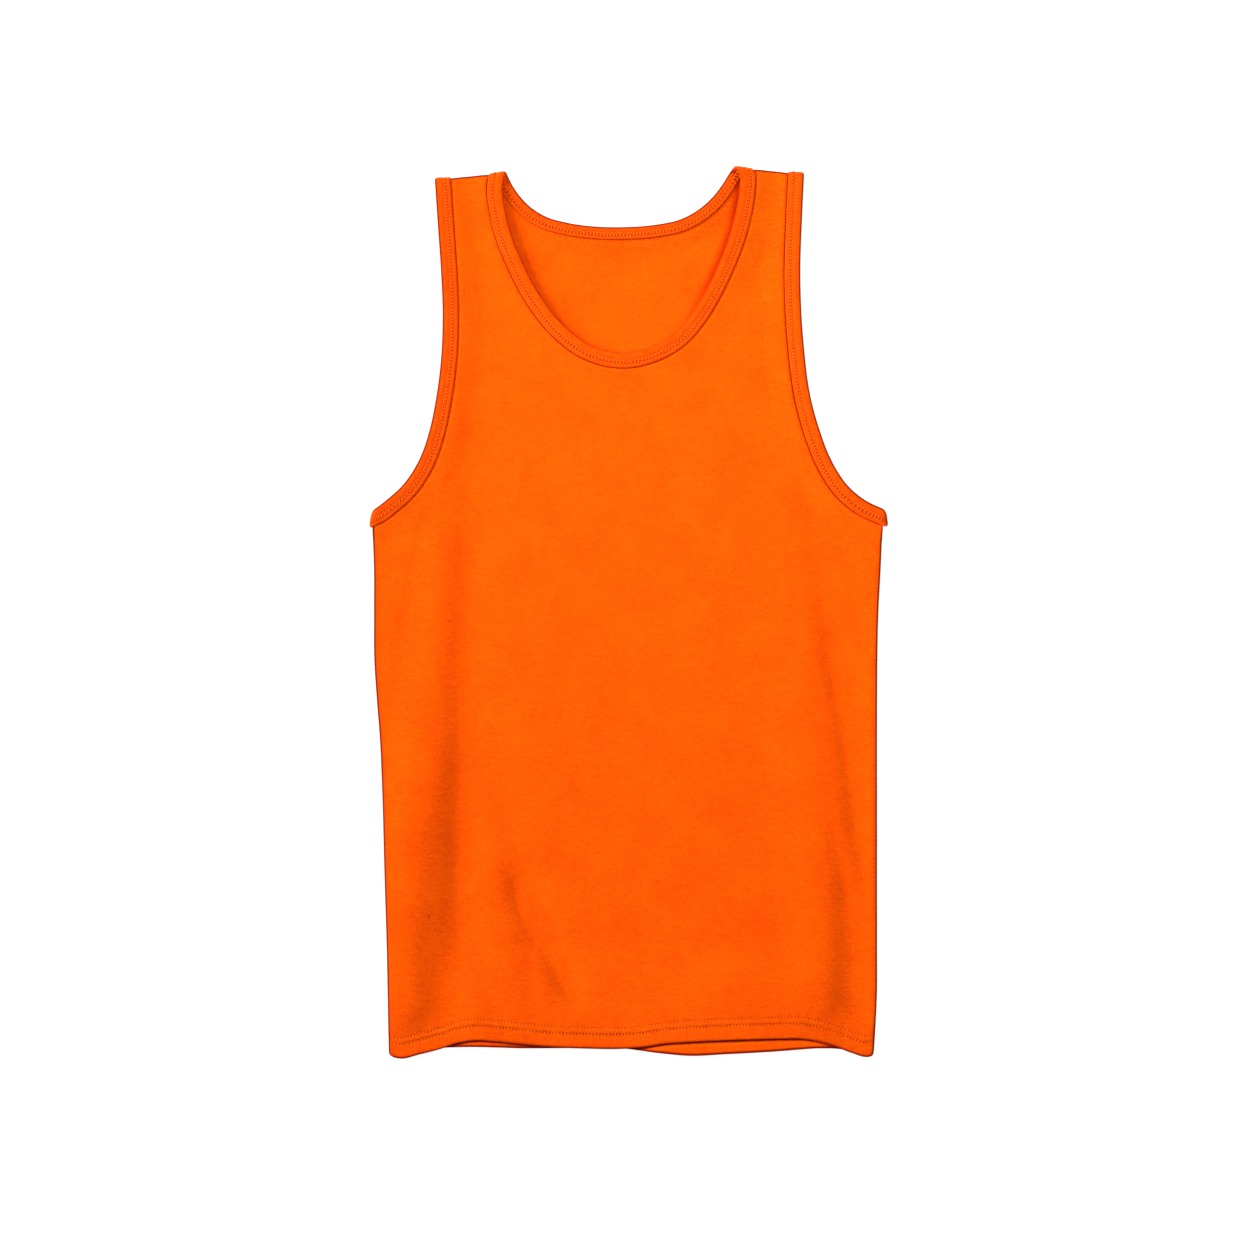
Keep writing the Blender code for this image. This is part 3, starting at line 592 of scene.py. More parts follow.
def spun_polyester_thread():
    material, tree = new_material("polyester_thread_spun_and_dyed")
    cloth = add_node(tree, "ShaderNodeUVMap", {"uv_map": "cloth"}).outputs[0]
    plies = add_node(tree, "ShaderNodeTexWave",
                     {"wave_type": "BANDS", "bands_direction": "DIAGONAL",
                      "Scale": BANDS_TO_TURNS / (TWIST * MM), "Distortion": 0.6},
                     {"Vector": cloth}).outputs["Fac"]
    twist = add_node(tree, "ShaderNodeBump", {"Strength": 0.5, "Distance": 0.1 * MM},
                     {"Height": plies})
    # Painted highlight: two oranges lighter than the cloth's, in bands along the twist
    tone = add_node(tree, "ShaderNodeMix",
                    {"data_type": "RGBA", 6: dye("#E65C08"), 7: dye("#EB6C0E")}, {0: plies})
    surface(tree, {"Roughness": 0.6, "Metallic": 0.0, "IOR": 1.5, "Specular IOR Level": 0.06,
                   "Sheen Weight": 0.02, "Sheen Tint": dye("#FF7A20")},
            {"Base Color": tone.outputs[2], "Normal": twist.outputs[0]})
    return material


thread_material = spun_polyester_thread()


# %% [markdown]
# ## Making a piece
# Every piece ends as one mesh. This helper turns millimetres into metres, stores the cloth
# coordinates that the knit follows, and makes the piece ride on the model's only body.

# %% Helper that makes a piece
def make_piece(name, points, faces, cloth_places, painted_shade_and_knot, material):
    """points and cloth_places have a row for each vertex, in millimetres, and the argument after
    them a value of painted shade from 0 to 2 for each vertex, which also holds a dark knot of
    fibre."""
    mesh = bpy.data.meshes.new(name)
    points = np.array(points, float)
    points[:, :2] -= SHEET_CENTRE
    mesh.from_pydata((points * MM).tolist(), [], [list(map(int, face)) for face in faces])
    corner = np.zeros(len(mesh.loops), np.int32)
    mesh.loops.foreach_get("vertex_index", corner)
    layer = mesh.uv_layers.new(name="cloth")
    layer.data.foreach_set("uv", (np.array(cloth_places)[corner] * MM).astype(np.float32).ravel())
    # Each vertex's painted shade, which the material turns into a deeper red and brown
    depth = mesh.attributes.new("painted_shade_and_knot", "FLOAT", "POINT")
    depth.data.foreach_set("value", np.clip(painted_shade_and_knot, 0, 2).astype(np.float32))
    mesh.shade_smooth()
    mesh.materials.append(material)
    piece = bpy.data.objects.new(name, mesh)
    bpy.context.scene.collection.objects.link(piece)
    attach(piece, "root")
    triangles = sum(len(face) - 2 for face in faces)
    low, high = points.min(0), points.max(0)
    print(f"{name}: {triangles} triangles, {high[0] - low[0]:.1f} x {high[1] - low[1]:.1f}"
          f" x {high[2] - low[2]:.1f} mm")
    return piece


# %% [markdown]
# ## The front and the back
# A panel is cut flat, so its middle can be one fine sheet of triangles that is lifted to the
# heights above. Two things have to be right at its edges. Where front and back are sewn, at
# the sides and the shoulders, each rolls over by a quarter turn and meets the other at a seam
# in a small groove. At the hem the cloth folds under by half a turn, and its turned-up edge
# runs back inside. Rolls and folds are strips of faces joined to the sheet's outline.

# %% Outline of a panel
COLUMN, ROW = 2.5, 4.0         # spacing of the sheet's points across and along the body
HEM_COLUMN = 1.0               # closer columns over the hem, three to a stitch
ARMHOLE_END = 219.0            # the panel's edge leaves the armhole here, inside the binding
SIDE_TOP = 86.5                # the sides end here, inside the bindings
ROLL_START, ROLL_FULL = 73.0, 61.0   # the sides' rolls begin, and are full from here down
HEM_FOLD = LEAF / 2 + SKIN     # radius of the fold at the foot of the hem
CORNER = 3.0                   # how far the hem's corners are rounded


def roll_radius(x, y):
    """Radius of the roll that joins the front's face to the back's at an edge."""
    return (front_height(x, y, False) - back_height(x, y, False)) / 2 + SKIN


def panel_outline(back):
    """The panel's flat part as named runs of points, anticlockwise from the hem's left end."""
    def side(right):
        outward = 1 if right else -1
        y = np.concatenate([np.arange(-396 if back else -398, ROLL_FULL - 2, ROW),
                            np.arange(ROLL_FULL, SIDE_TOP, 2.0)])
        # The lowest point moves onto the corner of the hem
        edge = side_x(y, right)
        edge_y = hem_y(edge, back) + HEM_FOLD
        y[0] = edge_y[0]
        radius = roll_radius(edge - outward * SHOULDER_RADIUS, y)
        return np.column_stack([edge - outward * radius, y])

    def shoulder(start_x, end_x):
        x = np.linspace(start_x, end_x, 24)
        return np.column_stack([x, shoulder_y(x) - SHOULDER_RADIUS - SKIN])

    def below_fold(points):
        return points[points[:, 1] < shoulder_y(points[:, 0]) - SHOULDER_RADIUS - 1]

    left_armhole = below_fold(offset(LEFT_EDGE, -EDGE_INSET))
    left_armhole = left_armhole[left_armhole[:, 0] > -ARMHOLE_END]
    right_armhole = below_fold(offset(RIGHT_EDGE, EDGE_INSET))
    right_armhole = right_armhole[right_armhole[:, 0] < ARMHOLE_END]
    neck = below_fold(offset(NECK_EDGE[back], -EDGE_INSET if back else EDGE_INSET))
    if back:
        neck = neck[::-1]
    left_corner = min(neck[0][0], NECK_EDGE[False][0][0] - EDGE_INSET)
    right_corner = max(neck[-1][0], NECK_EDGE[False][-1][0] + EDGE_INSET)
    left_side, right_side = side(False), side(True)
    hem_x = np.linspace(left_side[0][0], right_side[0][0],
                        round((right_side[0][0] - left_side[0][0]) / HEM_COLUMN))
    hem = np.column_stack([hem_x, hem_y(hem_x, back) + HEM_FOLD])
    hem[0], hem[-1] = left_side[0], right_side[0]
    return {
        "hem": hem, "right side": right_side, "right armhole": walk(right_armhole[::-1], 3.0),
        "right shoulder": shoulder(right_armhole[0][0], right_corner),
        "neck": walk(neck[::-1], 3.0),
        "left shoulder": shoulder(left_corner, left_armhole[0][0]),
        "left armhole": walk(left_armhole, 3.0), "left side": left_side[::-1],
    }


def inside(loop, x, y):
    """Whether each point is inside a closed outline."""
    crossings = np.zeros(len(x), int)
    for (ax, ay), (bx, by) in zip(loop, np.roll(loop, -1, axis=0)):
        if ay != by:
            crosses = (ay > y) != (by > y)
            crossings += crosses & (x < ax + (y - ay) / (by - ay) * (bx - ax))
    return crossings % 2 == 1


# %% Painted shade at the edges, set by how the light falls
LIGHT_WAY = (0.90, -0.44)      # the way the low light travels over the table, in x and y
# Depths of painted shade: at the rims, and in the groove beside a binding
EDGE_PAINTED_SHADE = 1.3              # depth of tone where the cloth rolls out of sight
LIP_PAINTED_SHADE = 1.2               # and in the groove beside a binding


def facing(out_x, out_y):
    """1 where an edge faces the light from the left, -1 where it faces away."""
    return np.clip(-(LIGHT_WAY[0] * out_x + LIGHT_WAY[1] * out_y), -1, 1)


def edge_painted_shade(inward, lit):
    """Depth of painted shade this far in from an outer edge; an edge in full light needs more."""
    return (EDGE_PAINTED_SHADE + 0.5 * lit) * (1 - ease((inward - 0.7) / 1.3))


def side_painted_shade(inward, lit):
    """The same where a panel rolls over, with a soft tail behind the rim."""
    return edge_painted_shade(inward, lit) + (0.24 + 0.12 * lit) * (1 - ease((inward - 1.5) / 4.0))


def hem_rim_painted_shade(x, inward, back):
    """And at a hem's fold. Where the front's is lifted, its rim is as bright as the rest."""
    return side_painted_shade(inward, facing(0, -1)) * (1 if back else 1 - 0.35 * hem_lift(x))


def lip_light(x, y, back):
    """1 where the lip of the nearest binding faces the light, -1 where it faces away."""
    best, lit = np.full(len(x), np.inf), np.zeros(len(x))
    for curve in (LEFT_EDGE, RIGHT_EDGE, NECK_EDGE[back]):
        gap, place = nearest(curve, x, y)
        away = (np.column_stack([x, y]) - curve[place]) / np.maximum(gap, 0.01)[:, None]
        lit = np.where(gap < best, facing(*away.T), lit)
        best = np.minimum(best, gap)
    return lit


def neck_shade(x, y, gap):
    """Depth of painted shade inside the neck, this far from the front's bound edge. The light
    comes from the left and shades the left side anyway, so the right side needs more."""
    height = ease((y - NECK_FOOT - 3.0) / 70.0)
    strength = 0.50 + 0.35 * np.clip((x + 5) / 60, -1, 1)
    return strength * height * (1 - ease((gap - 0.5) / (2.0 + 6.0 * height)))


def hem_shade(x, y):
    """Depth of painted shadow on the back's hem, just under the lifted edge of the front's."""
    return 0.20 * ease((y - hem_y(x, False) + 2.5) / 2.0)


# %% Painted shade in the crevices of a panel
RUNG = 2.9                     # spacing of the rungs of a binding's stitches
NEP = (-177.8, -273.6)         # a dark knot of fibre in the front: x, y


def panel_painted_shade_and_knot(flat, back):
    """Painted shade beside the bindings, in the needle rows of the hem and under the front's hem,
    and on the front one dark knot of fibre.
    """
    x, y = flat.T
    from_edge = bound_edge_distance(x, y, back)
    # Painted shade in the groove beside a binding, deeper where its lip faces the light
    painted_shade_and_knot, lip = np.zeros(len(x)), from_edge < 17
    lit = lip_light(x[lip], y[lip], back)
    past = from_edge[lip] - BINDING_OUTER
    painted_shade_and_knot[lip] = (LIP_PAINTED_SHADE + 0.6 * lit) * ease((1.3 - past) / 0.8) * ease((past + 0.8) / 0.7)
    if back:
        # Its inside shows at the neck, where the inner leaf ends in a row of stitches; each needle
        # hole gets painted shade
        from_neck, along = nearest(NECK_EDGE[True], x, y)
        row = (0.25 + 0.65 * needle_hole(along, RUNG)) * bell(from_neck, BINDING_INNER + 0.3, 0.6)
        painted_shade_and_knot = np.where(from_neck < from_edge + 1, row, painted_shade_and_knot)
        # and it gets painted shade under the front's bound edge, where little light gets in, the
        # less the higher it stands
        painted_shade_and_knot = np.maximum(painted_shade_and_knot, neck_shade(x, y, distance(NECK_EDGE[False], x, y)))
    # The lower row of the hem is drawn in hard and unevenly, the upper one hardly; the
    # needle holes of both get painted shade to match
    rise = y - hem_y(x, back)
    tight = 0.7 + 0.9 * wander(x, 0 * x, 8.0, 1.0, 2.5)
    lower, upper = (bell(rise, above + 0.2, 0.7) for above in HEM_ROWS)
    painted_shade_and_knot += lower * (0.40 + 0.80 * needle_hole(x, HEM_STITCH) ** 2) * tight
    painted_shade_and_knot += upper * (0.08 + 0.24 * needle_hole(x, HEM_STITCH, 1) ** 2)
    from_side = np.minimum(x - side_x(y, False), side_x(y, True) - x)
    painted_shade_and_knot += side_painted_shade(from_side, 0) * (y < ROLL_FULL) + hem_rim_painted_shade(x, rise, back)
    if back:
        return np.where(rise < 30, np.maximum(hem_shade(x, y), 0.3 * painted_shade_and_knot), painted_shade_and_knot)
    # The knot of fibre is dark of its own, and rides on the same value
    return painted_shade_and_knot + 1.2 * bell(np.hypot(x - NEP[0], y - NEP[1]), 0, 0.8)


# %% Points inside a panel
def inner_points(loop, sections, back):
    """Rows over the hem and along the bindings, close together, and a grid in between."""
    kept = []

    def add(points, clear_of_loop):
        points = points[inside(loop, points[:, 0], points[:, 1])]
        kept.append(points[distance(loop, points[:, 0], points[:, 1]) > clear_of_loop])

    hem = sections["hem"]
    for rise in np.concatenate([np.arange(1.5, 11, 1.6), np.arange(11.2, 21.5, 0.6),
                                np.arange(22.5, 27, 1.6)]):
        row = hem[1:-1] + (0, rise)
        add(row if 10 < rise < 22 else row[::2], 0.5)
    for edge, side in ((LEFT_EDGE, -1), (RIGHT_EDGE, 1), (NECK_EDGE[back], -1 if back else 1)):
        # The back's neck shows the end of the inner leaf, which needs a point for each stitch
        stitched = (10.6, 11.2, 11.8, 12.4) if edge is NECK_EDGE[True] else ()
        for inward in (8.0, *stitched, *((13.1, 13.8) if stitched else (12.5, 13.4)), 14.1, 14.8,
                       15.5, 16.3, 17.3, 18.6, 20.6):
            row = offset(edge, side * inward)
            row = row[bound_edge_distance(row[:, 0], row[:, 1], back) > inward - 0.2]
            if len(row) > 2:
                add(row if inward in stitched else row[::3], 1.0)
    if not back:
        around = np.arange(-3, 4) * 0.7
        add(np.array([(NEP[0] + dx, NEP[1] + dy) for dx in around for dy in around]), 1.0)
    grid = np.array([(x, y) for y in np.arange(-372, 400, ROW)
                     for x in np.arange(-235, 236, COLUMN)])
    grid = grid[grid[:, 1] > hem_y(grid[:, 0], back) + HEM_FOLD + 27.5]
    add(grid[bound_edge_distance(grid[:, 0], grid[:, 1], back) > 22.5], 1.4)
    return np.vstack(kept)


# %% A skin that grows by strips
class Skin:
    """Points, their places on the cloth as cut, their painted shade, and the faces between them."""

    def __init__(self, points, places, painted_shade_and_knot, faces):
        self.rows = [np.column_stack([points, places, painted_shade_and_knot])]
        self.faces = [list(face) for face in faces]

    def add(self, points, places, painted_shade_and_knot):
        """Adds a line of points and returns their numbers."""
        self.rows.append(np.column_stack([points, places, np.broadcast_to(painted_shade_and_knot, len(points))]))
        count = sum(len(row) for row in self.rows)
        return list(range(count - len(points), count))

    def at(self, numbers):
        """The numbered points, and their places on the cloth."""
        found = np.vstack(self.rows)[numbers]
        return found[:, :3], found[:, 3:5]

    def strip(self, lines):
        """Faces between each line of points and the next."""
        for lower, upper in zip(lines, lines[1:]):
            for i in range(len(lower) - 1):
                self.faces.append([lower[i + 1], lower[i], upper[i], upper[i + 1]])


# %% Edges that roll over
ROLL_STEPS = 6
TUCK = 0.5                     # the seam's edge is drawn in this far between the panels


def half_gap(points, back):
    """Half of the height between the outer faces of the two panels."""
    x, y, z = points.T
    other = front_height(x, y, False) + SKIN if back else back_height(x, y, False) - BACK_SKIN
    return np.abs(other - z) / 2


def turned(points, back, radius, out, angle, hem_turn):
    """The cloth rolled outwards by an angle and then turned under at the hem."""
    x, y, z = points.T
    under = HEM_FOLD * (1 - np.cos(hem_turn))
    down = radius * (1 - np.cos(angle)) + under * np.cos(angle)
    return np.column_stack([
        x + out * (radius - under) * np.sin(angle),
        y + CORNER * (1 - np.cos(angle)) * np.abs(out) - HEM_FOLD * np.sin(hem_turn),
        z + (down if back else -down)])


def roll(skin, back, edge, out, corner=None):
    """Turns an edge over by a quarter, to meet the other panel at the seam, and returns its
    lines of points. corner is the end of a side that meets the hem."""
    points, places = skin.at(edge)
    radius = half_gap(points, back)
    full = ease((ROLL_START - points[:, 1]) / (ROLL_START - ROLL_FULL)) if out[0] else 1.0
    lines = [edge]
    for step in range(1, ROLL_STEPS + 2):
        angle = min(step, ROLL_STEPS) / ROLL_STEPS * math.pi / 2
        tuck = TUCK if step > ROLL_STEPS else 0.0
        reach, down = radius * math.sin(angle) - tuck, radius * (1 - math.cos(angle)) * full
        row = points + np.column_stack([out[0] * reach, out[1] * reach, down if back else -down])
        if corner is not None:
            row[corner] = turned(points, back, radius, out[0], angle, 0.0)[corner]
            row[corner, 0] -= out[0] * tuck
        lines.append(skin.add(row, places + np.outer(radius * angle, out),
                              side_painted_shade(radius * (1 - math.sin(angle)), facing(*out))))
    skin.strip(lines)
    return lines


# %% Hems that turn up
HEM_STEPS = 8


def turn_up(skin, back, hem, left, right):
    """Folds the hem under by half a turn, both corners with it, and lays the turned-up cloth
    inside. left and right are the lines of the two rolled sides."""
    steps = list(range(ROLL_STEPS + 1, 0, -1))
    line = [left[k][-1] for k in steps] + hem + [right[k][0] for k in steps[::-1]]
    out = np.array([-1] * len(steps) + [0] * len(hem) + [1] * len(steps))
    angle = np.minimum(steps + [0] * len(hem) + steps[::-1], ROLL_STEPS) / ROLL_STEPS
    angle = angle * math.pi / 2
    foot, _ = skin.at([hem[0]] * len(steps) + hem + [hem[-1]] * len(steps))
    edge, places = skin.at(line)
    radius = half_gap(foot, back) * np.abs(out)
    shift = edge - turned(foot, back, radius, out, angle, 0.0)
    lines = [line]
    for step in range(1, HEM_STEPS + 1):
        turn = step / HEM_STEPS * math.pi
        row = turned(foot, back, radius, out, angle, turn) + shift
        inward = HEM_FOLD * (1 - math.sin(min(turn, math.pi / 2)))
        lines.append(skin.add(row, places - (0, HEM_FOLD * turn),
                              hem_rim_painted_shade(row[:, 0], inward, back)))
    height = back_height if back else front_height
    x, y, _ = foot.T
    for rise in np.linspace(0, HEM_DEPTH, 11 if back else 5)[1:]:
        lift = height(x, y + rise, False) - height(x, y, False)
        # The turned-up cloth gets painted shade: in full inside the front, on the back under the
        # front's hem
        lines.append(skin.add(row + np.column_stack([0 * x, 0 * x + rise, lift]),
                              places - (0, HEM_FOLD * math.pi + rise),
                              hem_shade(x, row[:, 1] + rise) if back else 1.0))
    skin.strip(lines)


# %% A panel
def join_up(sections):
    """The sections of an outline as one closed loop, and the numbers of each one's points."""
    loop, where = [], {}
    for part, points in sections.items():
        points = [tuple(p) for p in points]
        start = 1 if loop and math.dist(loop[-1], points[0]) < 0.01 else 0
        first = len(loop) - start
        loop.extend(points[start:])
        where[part] = list(range(first, len(loop)))
    if math.dist(loop[0], loop[-1]) < 0.01:
        loop.pop()
        where["left side"][-1] = 0
    return loop, where


def panel(name, back):
    """The sheet, its rolled edges and its turned-up hem, as one skin of cloth."""
    sections = panel_outline(back)
    loop, where = join_up(sections)
    flat = np.vstack([loop, inner_points(np.array(loop), sections, back)])
    corners, _, sheet, _, _, _ = delaunay_2d_cdt([Vector(p) for p in flat], [],
                                                 [list(range(len(loop)))], 1, 1e-5)
    if len(corners) != len(flat):
        raise ValueError(f"{name}: the outline crosses itself")
    height = back_height(*flat.T) - BACK_SKIN if back else front_height(*flat.T) + SKIN
    skin = Skin(np.column_stack([flat, height]), flat, panel_painted_shade_and_knot(flat, back), sheet)
    right = roll(skin, back, where["right side"], (1, 0), 0)
    left = roll(skin, back, where["left side"], (-1, 0), -1)
    roll(skin, back, where["right shoulder"], (0, 1))
    roll(skin, back, where["left shoulder"], (0, 1))
    turn_up(skin, back, where["hem"], left, right)
    faces = [face[::-1] for face in skin.faces] if back else skin.faces
    rows = np.vstack(skin.rows)
    return make_piece(name, rows[:, :3], faces, rows[:, 3:5], rows[:, 5], body_jersey)


back_cloth = panel("back_cloth", True)
front_cloth = panel("front_cloth", False)
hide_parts("back_panel")
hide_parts("front_panel")

# %% [markdown]
# ## The bindings
# A binding is a strip about 29 mm wide, folded round the cut edge: one leaf outside, one
# inside, and the panel between them. A machine with two needles sews both leaves at once and
# lays a ladder of thread over them. The strip is swept along the edge in the unfolded
# coordinates: its section is a table of points, from the inner leaf's edge round the fold to
# the lip of the outer leaf.

# %% Section of a binding
FOLD = 1.8                     # half thickness of the bound edge
LADDER = (7.4, 11.2)           # the two needle rows of the outer leaf, in from the fold
INNER_LADDER = (5.2, 9.3)      # the same rows on the inner leaf, which lies a little askew

# in from the folded edge, out from the panel's middle, and painted shade where a leaf's edge meets
# the panel
OUTER_FACE = (
    (1.8, 1.80, 0.0), (3.2, 1.90, 0.0), (4.8, 1.86, 0.0), (6.2, 1.72, 0.0), (7.0, 1.54, 0.0),
    (7.4, 1.46, 0.0), (7.8, 1.48, 0.0), (8.6, 1.52, 0.0), (9.4, 1.50, 0.0), (10.2, 1.42, 0.0),
    (10.8, 1.32, 0.0), (11.2, 1.26, 0.0), (11.6, 1.28, 0.0), (12.2, 1.32, 0.0),
    (12.8, 1.28, 0.0), (13.3, 1.14, 0.0), (13.7, 0.94, 0.0), (13.95, 0.74, 0.3),
    (14.0, 0.58, 0.8), (13.9, 0.50, 0.8), (13.6, 0.46, 0.8), (13.0, 0.44, 0.8),
)
INNER_FACE = (
    (1.8, -1.80, 0.0), (3.0, -1.84, 0.0), (4.2, -1.72, 0.0), (4.8, -1.56, 0.0),
    (5.2, -1.48, 0.0), (5.6, -1.50, 0.0), (6.4, -1.54, 0.0), (7.3, -1.52, 0.0),
    (8.2, -1.44, 0.0), (8.9, -1.34, 0.0), (9.3, -1.28, 0.0), (9.7, -1.32, 0.0),
    (10.2, -1.30, 0.0), (10.6, -1.16, 0.1), (10.85, -0.96, 0.4), (10.95, -0.76, 0.8),
    (10.9, -0.62, 0.8), (10.6, -0.50, 0.8),
)


def binding_section():
    """In, out and painted shade for each point across the strip, from its inner edge to its outer.
    """
    turns = np.linspace(0, math.pi, 13)[1:-1]
    depth = FOLD * (1 - np.sin(turns))
    fold = np.column_stack([depth, -FOLD * np.cos(turns), 0 * depth])
    return np.vstack([INNER_FACE[::-1], fold, OUTER_FACE])


def leaf_height(inward, outer):
    """Height of a leaf's face above the panel's middle."""
    table = OUTER_FACE[:16] if outer else INNER_FACE[:14]
    return np.interp(inward, [p[0] for p in table], [p[1] for p in table])


# %% The ends of a strip
END_ROLL = 3.4                 # the strip's ends round off over this width at the side seam
END_CORNER, CORNER_REACH = 4.5, 24.0   # radius of the ends' corners, and how far it is felt


def rounded_end(s, inward, length):
    """Draws the corners of an open strip's two ends in along the strip."""
    near = np.minimum(inward, BINDING_OUTER - inward)
    near = np.clip(END_CORNER - near, 0, END_CORNER)
    pull = END_CORNER - np.sqrt(END_CORNER ** 2 - near ** 2)
    start = np.clip(1 - s / CORNER_REACH, 0, 1) ** 2
    end = np.clip(1 - (length - s) / CORNER_REACH, 0, 1) ** 2
    return s + pull * (start - end)


# %% The strip's way along an edge
LEVEL_ZONE, LEVEL_EASE = 9.0, 16.0  # its sections run level so near the shoulder, and ease off
END_ZONE, END_SLANT = 22.0, 0.12    # they turn down over the last stretch, and slant so much
SKEW_LIMIT = 1.16                   # a skewed section is widened at most by this


def binding_strip(path, cloth_side, closed, level, seed, joins=()):
    """Places and directions of the sections along an edge. cloth_side is 1 where the cloth is
    right of the path, and seed sets the strip's ripples."""
    x, v = path.T
    along = np.gradient(path, axis=0)
    if closed:
        along = np.roll(path, -1, axis=0) - np.roll(path, 1, axis=0)
    along /= np.linalg.norm(along, axis=1)[:, None]
    across = cloth_side * np.column_stack([along[:, 1], -along[:, 0]])
    flat = np.column_stack([np.sign(across[:, 0]), np.zeros(len(path))])
    down = np.column_stack([-END_SLANT * flat[:, 0], np.sign(v)])
    over = (1 - ease((np.abs(v) - LEVEL_ZONE) / LEVEL_EASE))[:, None]
    end = (1 - ease((abs(v[0]) - np.abs(v)) / END_ZONE))[:, None] * (0 if closed else 1)
    aim = across + (flat - across) * over + (down - across) * end
    size = np.linalg.norm(aim, axis=1)
    stretch = np.minimum(size / (aim * across).sum(1), SKEW_LIMIT)
    aim *= (stretch / size)[:, None]
    steps = np.linalg.norm(np.diff(path, axis=0), axis=1)
    if closed:
        steps = np.append(steps, np.linalg.norm(path[0] - path[-1]))
        path, aim = np.vstack([path, path[:1]]), np.vstack([aim, aim[:1]])
    s = np.concatenate([[0], np.cumsum(steps)])
    return {"s": s, "x": path[:, 0], "v": path[:, 1], "aim x": aim[:, 0], "aim v": aim[:, 1],
            "closed": closed, "level": level, "length": s[-1], "seed": seed, "joins": joins}


def on_strip(strip, s, inward, off):
    """Points of the strip: s along the edge, inward from its fold, off from the panel."""
    s = np.mod(s, strip["length"]) if strip["closed"] else s
    x = np.interp(s, strip["s"], strip["x"]) + np.interp(s, strip["s"], strip["aim x"]) * inward
    v = np.interp(s, strip["s"], strip["v"]) + np.interp(s, strip["s"], strip["aim v"]) * inward
    px, py, pz = lay(x, v, off, strip["level"])
    if not strip["closed"]:
        end_x, end_v = strip["x"][0], abs(strip["v"][0])
        aim_x, aim_v = strip["aim x"][0], -strip["aim v"][0]
        size = math.hypot(aim_x, aim_v)
        gap = np.abs((x - end_x) * aim_v - (np.abs(v) - end_v) * aim_x) / size
        flatten = np.sqrt(1 - np.clip(1 - gap / END_ROLL, 0, 1) ** 2)
        pz = SHOULDER_HEIGHT + (pz - SHOULDER_HEIGHT) * flatten
    return np.stack(np.broadcast_arrays(px, py, pz), axis=-1)


def armhole_path(edge):
    """From the front underarm over the shoulder to the back underarm, in x and v."""
    front, back = unfold(edge, False), unfold(edge, True)
    front, back = front[front[:, 1] < -2], back[back[:, 1] > 2]
    return walk(np.vstack([front[::-1], back]), 1.0)


# %% The face of a binding
STATION = 0.72                 # spacing of the sections, four to a rung
# Where the neck's strip is joined, and where it crosses the right shoulder, along its edge
NECK_JOINS = (583.0, np.argmax(NECK_LOOP[:, 1] > 0) + 7.0)


def sewn_leaf(s, inward, outer):
    """The needle holes and rungs draw the leaf down, and it puckers a little between them.
    Also returns the painted shade at the holes and in the gaps between the rungs.
    """
    rows = LADDER if outer else INNER_LADDER
    hole = needle_hole(s, RUNG) ** 2
    at_rows = hole * sum(bell(inward, row, 0.7) for row in rows)
    between = ease((inward - rows[0] + 0.5) / 0.8) * ease((rows[1] + 0.5 - inward) / 0.8)
    between = between * (1 - needle_hole(s, RUNG))
    return (-1 if outer else 1) * (0.26 * at_rows + 0.14 * between), 0.55 * at_rows + 0.52 * between


def strip_lift(strip, s, inward, off):
    """How far the strip's face stands off its section, and how far its lip strays."""
    ripple = wander(s, 0 * s, 9.0, 1.0, strip["seed"] + 0.5)
    slow = wander(s, 0 * s, 31.0, 1.0, strip["seed"] + 9.5)
    lift = np.sign(off) * bell(inward, 4.0, 2.2) * (0.10 * ripple + 0.10 * slow)
    lift = lift + 0.10 * ripple * bell(inward, 13.6, 1.2) * (off > 1)
    for join in strip["joins"]:
        lift = lift - 0.35 * np.sign(off) * bell(s, join, 0.7)
    return lift, (0.22 * slow + 0.10 * ripple) * ease((inward - 11.5) / 2)


def rim_painted_shade(strip, s, inward):
    """Depth of painted shade at the folded edge; an edge in full light gets more."""
    aim_x, aim_v, v = (np.interp(s, strip["s"], strip[key]) for key in ("aim x", "aim v", "v"))
    # Inside the front of the neck the cloth behind is as bright as the rim, so it gets less painted
    # shade
    share = 0.35 + 0.65 * ease(v / 4) if strip["closed"] else 1.0
    return share * edge_painted_shade(inward, facing(-aim_x, np.sign(v) * aim_v)) * (inward < 3)


def inner_leaf_shade(strip, s, points):
    """Painted shade on the back's inner leaf, where it lies in the shade of the front's bound edge
    near the shoulders.
    """
    x, y = points[..., 0], points[..., 1]
    gap = distance(NECK_EDGE[False][::3], x, y)
    return 1.3 * neck_shade(x, y, gap) * (np.interp(s, strip["s"], strip["v"]) > 2)


